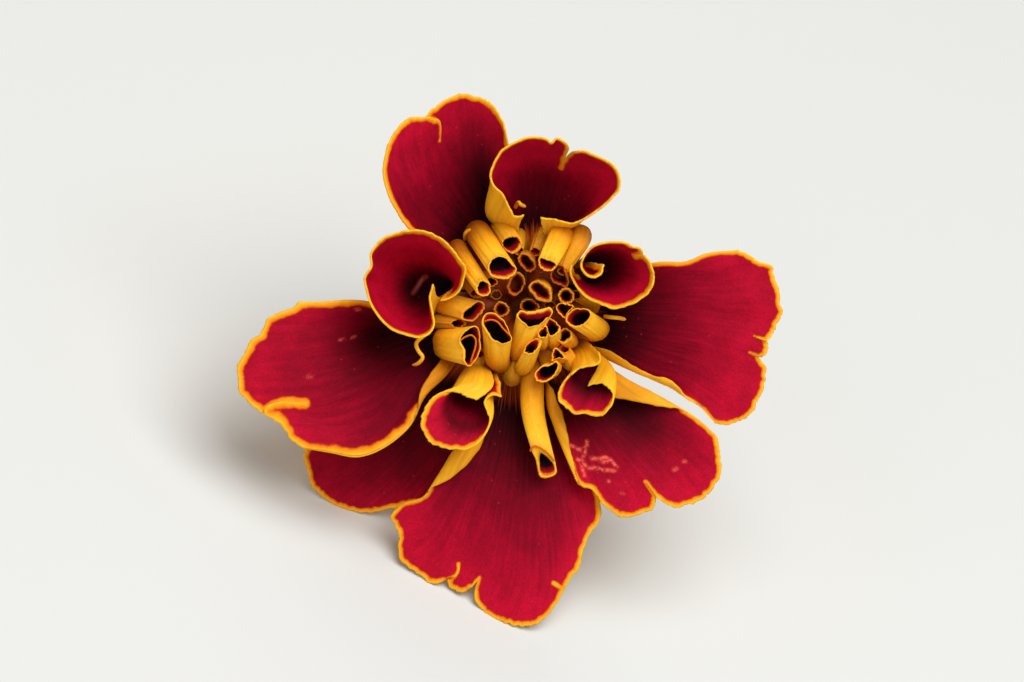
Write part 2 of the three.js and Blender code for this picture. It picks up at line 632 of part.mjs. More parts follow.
/** The stem stub: it leaves the cup straight and bends a little towards its cut end. */
function stemGeometry() {
  const [x, y, foot] = STEM_END;
  const top = -CUP_LENGTH - PIECE_GAP;
  const rings = [];
  for (let row = 0; row <= STEM_STEPS; row += 1) {
    const share = row / STEM_STEPS;
    const bend = (1 - share) ** 2;
    const centre = new THREE.Vector3(x * bend, y * bend, foot + (top - foot) * share);
    const radius = STEM_CUT_RADIUS + (STEM_TOP_RADIUS - STEM_CUT_RADIUS) * share ** 1.5;
    rings.push(levelRing(centre, radius, STEM_SIDES));
  }
  return skinOf(rings);
}

// ---- The flower, laid down ----------------------------------------------------------------------

/** The turn and shift that bring the three feet onto the plane z = 0, face to the front (-Y). */
function restingMatrix() {
  const [stem, petal5, petal6] = [vector(FEET.stem), vector(FEET.petal5), vector(FEET.petal6)];
  const up = petal6.clone().sub(stem).cross(petal5.clone().sub(stem)).normalize();
  if (up.z < 0) up.negate();
  const back = new THREE.Vector3(0, 0, -1).addScaledVector(up, up.z).normalize();
  const right = back.clone().cross(up);
  const turn = new THREE.Matrix4().makeBasis(right, back, up).transpose();
  const lift = -stem.applyMatrix4(turn).z - FOOT_FLAT;
  return new THREE.Matrix4().makeTranslation(WORLD_PLACE[0], WORLD_PLACE[1], lift).multiply(turn);
}

/** Takes away what a foot would press into the surface, which leaves it a small flat. */
function withFlatFoot(geometry, resting) {
  const [width, depth] = [200, 20]; // larger than the flower
  const below = new THREE.BoxGeometry(width, width, depth).translate(0, 0, -depth / 2);
  below.applyMatrix4(resting.clone().invert());
  below.deleteAttribute('normal');
  below.deleteAttribute('uv');
  return geometryOfSolid(solidOf(geometry).subtract(solidOf(below)));
}

function piece(name, geometry, colour, roughness) {
  const material = new THREE.MeshStandardMaterial({ color: colour, roughness, metalness: 0 });
  geometry.computeVertexNormals();
  const mesh = new THREE.Mesh(geometry, material);
  mesh.name = name;
  return mesh;
}

const resting = restingMatrix();
const flower = new THREE.Group();
flower.add(piece('stem', withFlatFoot(stemGeometry(), resting), COLOURS.stem, 0.7));
flower.add(piece('cup', cupGeometry(), COLOURS.cup, 0.6));
flower.add(piece('disc_florets', discGeometry(), COLOURS.disc, 0.55));
flower.add(piece('quill_floret', quillGeometry(), COLOURS.disc, 0.55));
for (const [name, petal] of Object.entries(PETALS)) {
  const blade = petalGeometry(petal);
  flower.add(piece(name, petal.isFoot ? withFlatFoot(blade, resting) : blade, COLOURS.petal, 0.8));
}
flower.applyMatrix4(resting);

const object = new THREE.Group();
object.add(flower);

export default object;
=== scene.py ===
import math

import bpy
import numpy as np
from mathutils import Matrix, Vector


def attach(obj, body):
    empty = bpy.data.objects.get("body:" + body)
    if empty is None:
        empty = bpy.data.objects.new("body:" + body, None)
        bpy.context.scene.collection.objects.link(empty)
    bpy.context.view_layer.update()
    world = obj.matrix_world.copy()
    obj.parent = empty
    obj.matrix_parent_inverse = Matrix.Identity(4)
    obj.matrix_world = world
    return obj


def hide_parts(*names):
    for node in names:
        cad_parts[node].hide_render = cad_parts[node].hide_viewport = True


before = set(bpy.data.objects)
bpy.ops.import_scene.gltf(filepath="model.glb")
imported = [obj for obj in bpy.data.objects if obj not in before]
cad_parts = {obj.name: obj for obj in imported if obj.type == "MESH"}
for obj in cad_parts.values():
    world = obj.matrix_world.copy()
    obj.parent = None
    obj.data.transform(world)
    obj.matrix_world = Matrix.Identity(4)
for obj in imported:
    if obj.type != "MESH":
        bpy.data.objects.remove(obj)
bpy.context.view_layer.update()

# A French marigold flower head, picked with a short stub of its stem and lying on a surface.
#
# The flower is drawn in its own frame, in millimetres, and then laid down as one whole:
#   x, y  across the face of the flower, with +Z standing out of the face,
#   z = 0 at the mouth of the green cup (the involucre).
# A petal (a ray floret) is a sheet stretched between four edges: its claw in the cup, two side
# margins and the end margin. Every list of places runs clockwise side first, seen from the face.

bl_info = {
    "name": "Marigold flower",
    "version": (1, 0, 0),
    "blender": (4, 5, 0),
    "location": "View3D > Sidebar > Marigold",
    "description": "Builds the petals, disc florets, cup and stem of a French marigold head",
    "category": "Add Mesh",
}

MM = 0.001

# ---- Shapes ---------------------------------------------------------------------------------------

CLAW_RING = 4.5  # radius of the ring on which the petals' claws stand
CLAW_FOOT = -2.4  # how deep a claw reaches into the cup
CLAW_TOP = 0.2  # height at which a claw opens into its blade
CLAW_WIDTH = 1.05
USUAL_RIM = 0.4  # width of the golden line along a margin
FOLD_THICKNESS = 0.16  # of the second lip inside some florets' mouths
CUP_LENGTH = 16.0
CUP_RIM = -0.9  # height of the cup's mouth between its teeth
STEM_END = (0.3, -0.5, -28.0)

# The three feet the flower lies on: the edge of the stem's cut and two petals' tips.
FEET = ((0.0, -1.86, -28.0), (-1.4, -29.2, 3.62), (-16.5, -18.5, -0.82))
FOOT_FLAT = 0.06  # how much of each foot the surface flattens
WORLD_PLACE = (-0.52, -1.0)

# What a petal's entry says. Of a pair for two lobes, the clockwise one comes first.
#   claw: azimuth of the claw on its ring, in degrees
#   right, left: side margins, from the claw outwards
#   end: the end margin; outline: its course in the face plane, where that is drawn more closely
#   bulge: push on the middle of the blade
#   flare: above 1 the blade stays narrow longer, below 1 it fills out sooner
#   swells: other pushes: shares across and along, their spreads, and the push
#   notches: cuts in the end margin, each with tip: its inner end; gap: how far each lobe draws back
#     from it, or laps over it below 0; lift: how far each lobe rises; round: how far each corner is
#     rounded along the margin and inwards; bend: how late the gap opens; bow: how far it bows
#     sideways; thin: how much thinner its golden line is
#   curls: a side margin that turns back over the blade, by spans: share of the margin's length,
#     radius of the roll, degrees round it, and how far it then runs on flat
#   creases: short golden lines, from the margin inwards, in the colour only
#   rim: width of the golden line; wide: stretches where it is wider: about where, how far, how much
#   blush: how far towards the bright red the blade's end gets, 1 for all the way; set petal by petal, partly the
#       petal's own red and partly painted light and shade, lower for the low petal in shade and inside rolled petals,
#       higher where light is painted
#   shades: painted shade, the red darkened towards the throat colour in troughs, throats and under folds: shares
#       across and along, their spreads, and how much
#   hollows: the same painted shade in round places in the face plane, for the dark throats of rolled petals: about
#       where, how far, how much
#   rows: rows of faces, where a petal needs more than the usual

PETALS = {
    "petal_1": dict(
        claw=118,
        right=[(-1.6, 6.4, 0.9), (-2.1, 9.3, 1.7), (-1.9, 12.4, 2.9), (-1.5, 14.9, 3.9)],
        end=[
            (-1.8, 16.8, 4.7), (-3.3, 19, 5.3), (-5.5, 19.9, 5.9), (-7.6, 19.2, 6.5),
            (-9, 18, 7.2), (-10.7, 17.7, 7.9), (-12, 16.6, 8.4), (-12.7, 15.2, 8.6),
        ],
        outline=[
            (-1.8, 16.8), (-2.05, 17.5), (-2.7, 18.4), (-3.6, 19.3), (-4.9, 19.8), (-6.6, 19.9),
            (-7.8, 19.2), (-8.6, 18.5), (-9.3, 17.95), (-10.6, 17.8), (-12, 16.5), (-12.7, 15.2),
        ],
        left=[(-5.6, 5.2, 1.9), (-8.6, 6.4, 5), (-10.9, 7.7, 7), (-12.3, 10, 8.2), (-13.1, 12.8, 8.7)],
        bulge=(0.4, 1, -1.6),
        notches=[
            dict(tip=(-8, 15.8), gap=(-1, 0.6), lift=(-0.1, 0.4), round=((0.6, 0.2), (1.3, 0.6)),
                bend=2, bow=-0.35),
        ],
        shades=[(0.3, 0.4, 0.2, 0.42, 0.9)],
        blush=0.94,
        rim=0.44,
    ),
    "petal_2": dict(
        claw=78,
        right=[(1.9, 6.2, 1.9), (1.8, 7.6, 4.4)],
        end=[
            (1.4, 8.4, 5.9), (3, 8.1, 6.3), (4.4, 7.9, 6.6), (6.2, 8.7, 7.1), (8, 10.2, 7.6),
            (8.7, 11.5, 7.9), (8, 13.3, 8), (6.2, 14.5, 8), (4.3, 14.7, 7.9), (2.9, 15.7, 7.9),
            (1, 16, 8), (-1, 15.4, 8.2), (-2.5, 14, 8.4), (-3, 12.5, 8.4),
            (-2.2, 10.7, 8), (-1.4, 9.2, 7.3), (-0.1, 8.6, 6.8),
        ],
        outline=[
            (1.6, 8.55), (2.5, 8.4), (3.3, 8.1), (4.3, 7.85), (5, 8.1), (6, 8.6), (7, 9.3), (8, 10.2),
            (8.7, 11), (8.8, 11.6), (8.5, 12.6), (8, 13.4), (7.4, 13.9), (6.2, 14.5), (5.5, 14.8),
            (4.6, 14.8), (3.8, 15.5), (2.9, 15.9), (2.5, 15.5), (2, 15.85), (0.9, 16.1), (0, 16),
            (-1.1, 15.5), (-2.1, 14.7), (-2.8, 13.5), (-3.1, 12.5), (-2.8, 11.5), (-2.2, 10.8), (-1.8, 10),
            (-1.5, 9.3), (-1.1, 8.6), (-0.6, 8.5), (-0.1, 8.65),
        ],
        left=[(-0.4, 6.2, 1.9), (-0.7, 7.6, 4.6)],
        bulge=(0.2, 1.6, -1.4),
        flare=0.65,
        swells=[(0.85, 0.56, 0.09, 0.2, (-1.4, -1.1, -0.5))],
        shades=[(0.6, 0.4, 0.25, 0.2, 0.4)],
        blush=1.45,
        rim=0.5,
        notches=[dict(tip=(3.4, 13.3), gap=(0.35, 0.25), lift=(0, 0.1))],
    ),
    "petal_3": dict(
        claw=352,
        right=[(5.8, -2.8, 0.9), (8.3, -4.3, 2.5), (11, -5.7, 3.6), (13.6, -6.6, 4.2), (15.6, -8.2, 4.4)],
        end=[
            (17.9, -10.4, 4.4), (20.2, -10.1, 4.5), (21.4, -8.8, 4.6), (22.3, -6.6, 4.8), (22.3, -4.8, 4.9),
            (22.8, -3.2, 5), (23.2, -1.6, 5.1), (23.6, 0.6, 5.2), (23.3, 2.8, 5.5), (22.2, 4.4, 5.7),
            (19.6, 5.4, 5.9),
        ],
        outline=[
            (17.6, -10.4), (18.2, -10.6), (19, -10.5), (20.2, -10.1), (21.1, -9.5), (21.5, -8.5),
            (22.1, -7.4), (22.3, -6.4), (22.4, -5.5), (22.15, -4.7), (22.5, -4.5), (22.5, -4), (22.4, -3.5),
            (22.95, -3), (22.9, -2.4), (23.3, -1.3), (23.7, -0.2), (23.6, 0.8), (23.6, 2), (23.1, 3.2),
            (22.8, 4.1), (21.5, 4.5), (20.4, 5.2), (19.6, 5.45),
        ],
        left=[(6.2, 2.2, 1.3), (9.1, 3.5, 3.1), (12.2, 4.35, 4.7), (15.2, 4.45, 5.4), (17, 5.15, 5.7)],
        bulge=(0, 0, 0.7),
        shades=[(0.55, 0.3, 0.5, 0.2, 0.35), (0.7, 1, 0.5, 0.35, 0.17)],
        rim=0.35,
        blush=1.08,
        notches=[
            dict(tip=(20.9, -3.9), gap=(0.2, 0.1), lift=(0, 0.25)),
            dict(tip=(21.3, -2.4), gap=(0.1, -0.1), lift=(0, 0.4)),
        ],
        curls=[
            dict(side="right", spans=[
                (0, 0.4, 30, 0), (0.2, 0.5, 150, 0.1), (0.32, 0.45, 178, 0.3), (0.45, 0.3, 175, 0.2),
                    (0.55, 0.25, 165, 0.1),
                (0.65, 0.4, 178, 0.3), (0.75, 0.35, 160, 0.1), (0.84, 0.2, 60, 0), (0.9, 0.12, 20, 0),
                    (1, 0.1, 10, 0),
            ]),
        ],
    ),
    "petal_4": dict(
        claw=304,
        right=[(2.3, -7, 1.9), (2.5, -9.2, 3.1), (3.2, -11.2, 4), (4, -13.6, 4.3)],
        end=[
            (5.1, -16.3, 4.4), (6.8, -17.2, 4.4), (9, -19, 4.3), (11.9, -18.4, 4.4), (14.3, -18.3, 4.5),
            (16.7, -17.3, 4.5), (18.1, -15, 4.5), (18.1, -13, 4.5), (17.6, -11.4, 4.5),
        ],
        outline=[
            (5.1, -16.3), (6.2, -16.6), (6.8, -17.2), (7.4, -18.1), (8.2, -18.7), (9, -19.2), (10.6, -18.9),
            (12, -18.4), (12.6, -18), (13.3, -18.1), (14.2, -18.35), (15.1, -18.1), (16.5, -17.4),
            (17.3, -16.6), (17.8, -15.8), (18.2, -15), (18.1, -13.8), (18, -12.5), (17.7, -11.6),
        ],
        left=[(5.2, -4.5, 0.8), (7.6, -6.5, 1.6), (10.2, -7.9, 2.6), (13.2, -8.9, 3.5), (15.8, -10, 4.2)],
        bulge=(0, 0, 0.2),
        rows=110,
        shades=[(0.85, 0.5, 0.3, 0.25, 0.75)],
        notches=[dict(tip=(11.2, -15.9), gap=(0.2, 0.1), lift=(0, 0.3))],
        curls=[
            dict(side="left", spans=[
                (0, 0.5, 20, 0), (0.2, 0.8, 90, 0.2), (0.32, 0.95, 165, 1.1), (0.4, 0.95, 174, 1.5),
                    (0.5, 0.85, 174, 0.9),
                (0.58, 0.75, 172, 0.6), (0.66, 0.5, 170, 0.3), (0.73, 0.3, 150, 0.1), (0.79, 0.15, 60, 0),
                (0.86, 0.1, 20, 0), (1, 0.08, 10, 0),
            ]),
            dict(side="right", spans=[
                (0, 0.3, 10, 0), (0.2, 0.35, 60, 0), (0.33, 0.5, 165, 0.1), (0.5, 0.5, 176, 0.35),
                    (0.6, 0.42, 176, 0.4),
                (0.7, 0.25, 175, 0.35), (0.8, 0.14, 170, 0.25), (0.9, 0.1, 150, 0.1), (1, 0.06, 40, 0),
            ]),
        ],
    ),
    "petal_5": dict(
        claw=262,
        right=[
            (-2.9, -6.4, 1), (-4.3, -9.9, 2.5), (-6, -12.8, 3.8), (-8, -15.8, 4.3), (-9.4, -17.4, 4.2),
            (-11.3, -18, 4.05),
        ],
        end=[
            (-12.1, -18.7, 3.9), (-11.8, -20.6, 3.7), (-11.8, -22.8, 3.5), (-9.8, -24.5, 3.3),
            (-7.4, -25.7, 3.3), (-5.2, -26.6, 3.5), (-3.2, -28.4, 3.8), (-0.3, -29.4, 4),
            (2, -28.4, 3.9), (3.7, -26.1, 3.7), (4.8, -24.1, 3.5), (5.7, -21.6, 3.2), (7.1, -18.9, 2.7),
        ],
        outline=[
            (-12.2, -18.7), (-12.3, -19.3), (-11.95, -20.2), (-11.6, -21.2), (-11.75, -22.2),
            (-11.6, -23.1), (-10.8, -23.9), (-9.8, -24.5), (-9, -25.2), (-8.2, -25.5), (-7.2, -25.7),
            (-6.5, -26), (-5.6, -26.4), (-5, -26.6), (-4.7, -27.2), (-4, -27.8), (-3.2, -28.5),
            (-2, -29), (-0.8, -29.3), (0.5, -29.3), (1.5, -28.8), (2.2, -28.2), (3.1, -26.9), (3.7, -25.9),
            (4.35, -24.7), (4.8, -24.2), (5.1, -23.3), (5.45, -22), (5.9, -20.9), (6.7, -19.8), (7.05, -18.9),
        ],
        left=[(2.2, -6.6, 0.6), (3.9, -9.6, 1.1), (5.2, -13.2, 1.7), (6.6, -16.8, 2.3)],
        bulge=(0, 0, 0.7),
        notches=[
            dict(tip=(-6.3, -23.6), gap=(-0.2, 0.1), lift=(0.35, 0), round=((1.5, 0.8), (0.8, 0.4)), bow=0.5),
            dict(tip=(-4.2, -24.8), gap=(0.45, 0.45), lift=(0.1, 0.1)),
        ],
        creases=[((3.8, -26.1), (2.6, -25.4))],
        curls=[
            dict(side="right", spans=[
                (0, 0.3, 20, 0), (0.25, 0.45, 70, 0), (0.38, 0.65, 165, 0.5), (0.5, 0.7, 176, 0.85),
                    (0.6, 0.65, 176, 0.8),
                (0.68, 0.5, 172, 0.5), (0.74, 0.35, 150, 0.2), (0.79, 0.18, 60, 0), (0.84, 0.1, 20, 0),
                    (1, 0.06, 10, 0),
            ]),
        ],
    ),
    "petal_6": dict(
        claw=216,
        right=[(-6.6, -4.6, 1.1), (-10.6, -7.6, 1.6), (-15, -10.4, 1.6)],
        end=[
            (-20.2, -13, 1.1), (-20.3, -15, 0.6), (-19.1, -17, 0), (-17, -18.4, -0.5),
            (-14.5, -18.8, -0.4), (-12.4, -18.5, 0), (-10.2, -18.1, 0.4), (-8, -17.1, 0.7),
        ],
        outline=[
            (-20.4, -12.9), (-20.6, -13.8), (-20.3, -15), (-19.9, -16.3), (-19, -17.2), (-18.1, -18),
            (-17, -18.4), (-15.8, -18.7), (-14.5, -18.8), (-13.2, -18.6), (-12.2, -18.4), (-10.9, -18.1),
                (-9.4, -17.9), (-8, -17.1),
        ],
        left=[(-3.8, -6.3, 0.4), (-4.5, -9.8, 0.8), (-6, -14.2, 0.9)],
        bulge=(0, 0, 0.3),
        shades=[(0.6, 0.4, 0.6, 0.35, 0.45)],
        blush=0.82,
    ),
    "petal_7": dict(
        claw=192,
        right=[(-5.9, 0.4, 0.3), (-8.6, 0.2, 0.4), (-12, 0, 2.4), (-15.4, 0.8, 4.8), (-18.8, 0.7, 5.6)],
        end=[
            (-21.3, 0.4, 5.7), (-23.8, -1, 6.1), (-25.4, -3, 6.6), (-26.5, -5.2, 7), (-26.2, -7.8, 7.5),
            (-24.4, -9.7, 7.9), (-22.8, -10.3, 8.3), (-21.6, -11.8, 8.6), (-20.2, -12.7, 8.8),
        ],
        outline=[
            (-21, 0.6), (-21.6, 0.1), (-22.8, -0.3), (-24, -1.1), (-24.5, -2.3), (-25.5, -2.9), (-26, -4),
            (-26.6, -5), (-26.6, -6.3), (-26.2, -7.7), (-25.2, -8.9), (-24, -9.9), (-23, -10.3),
            (-22.2, -11.1), (-21.5, -12), (-20.5, -12.8),
        ],
        left=[
            (-6.4, -3.9, 1.9), (-7.6, -5.9, 4.1), (-9.5, -8, 6.3), (-10.8, -10.8, 7.9),
            (-13.2, -12.8, 8.9), (-15.5, -13.6, 9.2), (-18, -13.2, 9.1),
        ],
        bulge=(0, 0.6, -1.4),
        notches=[
            dict(tip=(-20.6, -8.8), gap=(-1.3, 0.9), lift=(-0.1, 0.5), round=((0.8, 0.2), (1.6, 0.6)),
                bend=2, bow=-0.3, thin=0),
        ],
        blush=0.94,
        wide=[((-22, -9.2), 1.8, 0.3), ((-15.8, -13.9), 3.4, 0.45), ((-11.2, -11.2), 2.4, 0.25)],
        curls=[
            dict(side="left", spans=[
                (0, 0.3, 20, 0), (0.1, 0.45, 120, 0.2), (0.2, 0.5, 172, 0.6), (0.32, 0.45, 172, 0.5),
                    (0.42, 0.3, 150, 0.2),
                (0.5, 0.15, 60, 0), (0.6, 0.1, 20, 0), (1, 0.08, 10, 0),
            ]),
        ],
        rim=0.56,
        shades=[(0.35, 0.42, 0.25, 0.22, 0.8), (0.35, 1, 0.35, 0.3, 0.15)],
    ),
    "trumpet_a": dict(
        claw=158,
        right=[(-6.2, 1.9, 1.9), (-7.2, 1.6, 4.6)],
        end=[
            (-7.6, 1.1, 6.4), (-6.3, 1.7, 6.9), (-5.7, 3.6, 7.4), (-7.1, 5.9, 8.4), (-9.8, 7.2, 9.3),
            (-12.4, 6.8, 9.8), (-14.2, 5.2, 10), (-14.7, 2.8, 10.1), (-14, 0.2, 10), (-12.2, -1.8, 9.8),
            (-9.8, -2.4, 9.4), (-8.6, -1.4, 9), (-8.8, 0.6, 8.3), (-8.6, 2.1, 7.8),
        ],
        outline=[
            (-7.9, 0.85), (-7.2, 1), (-6.4, 1.5), (-6, 2.1), (-5.75, 2.9), (-5.55, 3.8), (-6.1, 4.7),
            (-7, 6), (-8.4, 6.9), (-10, 7.3), (-11.8, 7.1), (-13.4, 6.4), (-14.3, 5.2), (-14.3, 4.1),
            (-14.9, 3), (-14.6, 1.8), (-14.2, 0.5), (-13.5, -0.7), (-12.4, -1.8), (-11.2, -2.3),
            (-9.8, -2.5), (-8.9, -2.1), (-8.5, -1.3), (-8.6, -0.6), (-8.75, 0.2), (-8.9, 1.2), (-8.6, 2.2),
        ],
        left=[(-6.6, 1, 1.9), (-8.2, 1.1, 5)],
        bulge=(-2.2, 0.1, -1.8),
        rim=0.75,
        blush=1.6,
        shades=[(0.5, 0.22, 0.7, 0.2, 0.9)],
        hollows=[((-9.9, 2), 1.9, 0.95)],
        flare=1.2,
    ),
    "trumpet_b": dict(
        claw=238,
        right=[(-3.5, -4.8, 2.6), (-3.1, -6.2, 6), (-3.3, -7.4, 7.8)],
        end=[
            (-4.5, -8.1, 8.4), (-6.4, -7.6, 8.8), (-8.2, -8, 9), (-9.3, -9.6, 9.2), (-9.1, -11.4, 9.3),
            (-7.8, -12.6, 9.3), (-5.6, -12.8, 9.2), (-3.8, -11.8, 9), (-3.2, -10.1, 8.7), (-3.3, -8.6, 8.3),
            (-2.3, -8.1, 7.9),
        ],
        outline=[
            (-4.6, -8.25), (-5.6, -7.9), (-6.6, -7.5), (-7.8, -7.7), (-8.9, -8.6), (-9.5, -9.9), (-9.4, -11),
            (-8.8, -12.1), (-7.9, -12.6), (-6.6, -12.8), (-5.2, -12.8), (-4.2, -12.2), (-3.4, -11),
            (-3.2, -10), (-3.5, -9.3), (-3.7, -8.5), (-3.1, -7.9), (-2.3, -8),
        ],
        left=[(-2.7, -5.2, 2.2), (-2.4, -6.8, 5.4)],
        bulge=(0.1, -0.4, 1.2),
        blush=1.05,
        shades=[(0.5, 0.72, 0.4, 0.12, 0.7)],
        flare=0.6,
    ),
    "trumpet_c": dict(
        claw=40,
        right=[(4.9, 3.2, 2), (4.6, 3.3, 4.8)],
        end=[
            (4.3, 3.1, 6.5), (5, 1.9, 6.9), (6.4, 0.9, 7.3), (8.4, 0.2, 7.8), (10.6, 1, 8.2),
            (11.8, 2.6, 8.5), (11.4, 4.9, 8.5), (10.2, 5.8, 8.4), (8, 6.2, 8.3), (6.1, 5.7, 8.2),
            (5.3, 4.2, 8.1), (6.3, 3.2, 8), (7, 3.9, 7.8),
        ],
        outline=[
            (4.3, 4.1), (4.2, 3.5), (4.5, 2.7), (5, 1.9), (6, 1), (7.2, 0.5), (8.4, 0.15), (9.6, 0.5),
            (10.8, 1.1), (11.6, 1.9), (12, 3), (11.7, 4.3), (11.2, 5.2), (10.6, 5.8), (10, 5.9),
            (9.2, 6.3), (7.5, 6.3), (6.3, 5.9), (5.5, 5), (5.25, 4), (5.7, 3.3), (6.4, 3.05), (7, 3.4),
            (7.2, 4.1),
        ],
        left=[(5.1, 4.2, 2.4), (6.2, 4.3, 5.6)],
        bulge=(1, 0.5, 0.6),
        rim=0.62,
        blush=1.3,
        shades=[(0.5, 0.2, 0.7, 0.22, 0.8)],
        hollows=[((6.3, 4), 1.1, 0.95)],
        flare=0.85,
        notches=[dict(tip=(10.3, 5.1), gap=(0.15, 0.15), lift=(0, 0))],
    ),
    "trumpet_d": dict(
        claw=329,
        right=[(5.3, -2.8, 2.6), (6.4, -3.6, 5.2)],
        end=[
            (6.8, -4.8, 7), (5.2, -5.4, 7), (3.8, -6.5, 7), (3.2, -8.1, 7), (4.4, -9.4, 7.1),
            (6.8, -9.7, 7.3), (8, -8.2, 7.1), (7.4, -7, 6.7), (6.1, -6.9, 6.1),
        ],
        outline=[
            (6.95, -4.1), (7.05, -4.6), (6.8, -5), (6, -5.25), (5.2, -5.4), (4.4, -5.9), (3.6, -6.7),
            (3.25, -7.5), (3.2, -8.3), (3.9, -9), (4.6, -9.6), (5.6, -9.55), (6.2, -9.75), (7, -9.85),
            (7.6, -9.4), (8.1, -8.7), (8.2, -7.9), (7.9, -7.3), (7.3, -6.8), (6.6, -6.85), (5.95, -7.05),
        ],
        left=[(5.7, -3.5, 2.4), (6.9, -4.9, 4.4)],
        bulge=(0.4, -0.3, 0.6),
        blush=0.92,
        shades=[(0.5, 0.66, 0.5, 0.16, 0.75)],
        flare=0.7,
    ),
}

# What a tubular floret's entry says.
#   rim, bore: outer and inner edge of the mouth's lip, from their rightmost place, anticlockwise
#   height: that of the mouth; slope: how the mouth rises outwards
#   back: outermost place that the tube bends through; body: its radius there
#   dull: how far it takes the shaded browns, painted shade for the florets that stand in shade; golden: length of
#       wall over which it turns brown
#   lip: how far the lip thins towards its rim; bore_depth: share of its length that is hollow
#   fold: a second lip that stands inside the mouth
QUILL = dict(
    root=(0.86, -4.42, 0.2), knee=(0.75, -5.6, 2.6), back=(0.7, -9.4, 4.4), body=1.1,
    height=5.4, slope=-0.42, golden=15, lip=0.08, bore_depth=0.25,
    rim=[
        (2.95, -14.8), (2.7, -14), (2.1, -13.3), (1.5, -12.85), (0.8, -12.6), (0.55, -12.9), (0.9, -13.7),
        (1.15, -14.4), (1.2, -15.2), (1.7, -15.65), (2.3, -15.5), (2.85, -15.2),
    ],
    bore=[
        (2.72, -14.7), (2.45, -14.1), (1.95, -13.6), (1.5, -13.35), (1.4, -13.7), (1.4, -14.2), (1.42, -14.7),
        (1.5, -15.1), (1.8, -15.35), (2.3, -15.25), (2.65, -15.05),
    ],
    fold=[
        (0.5, -13.1, 6), (0.62, -12.75, 6.2), (0.9, -12.62, 6.22), (1.5, -12.85, 6.14), (2.1, -13.3, 5.95),
        (2.7, -14, 5.62),
    ],
)
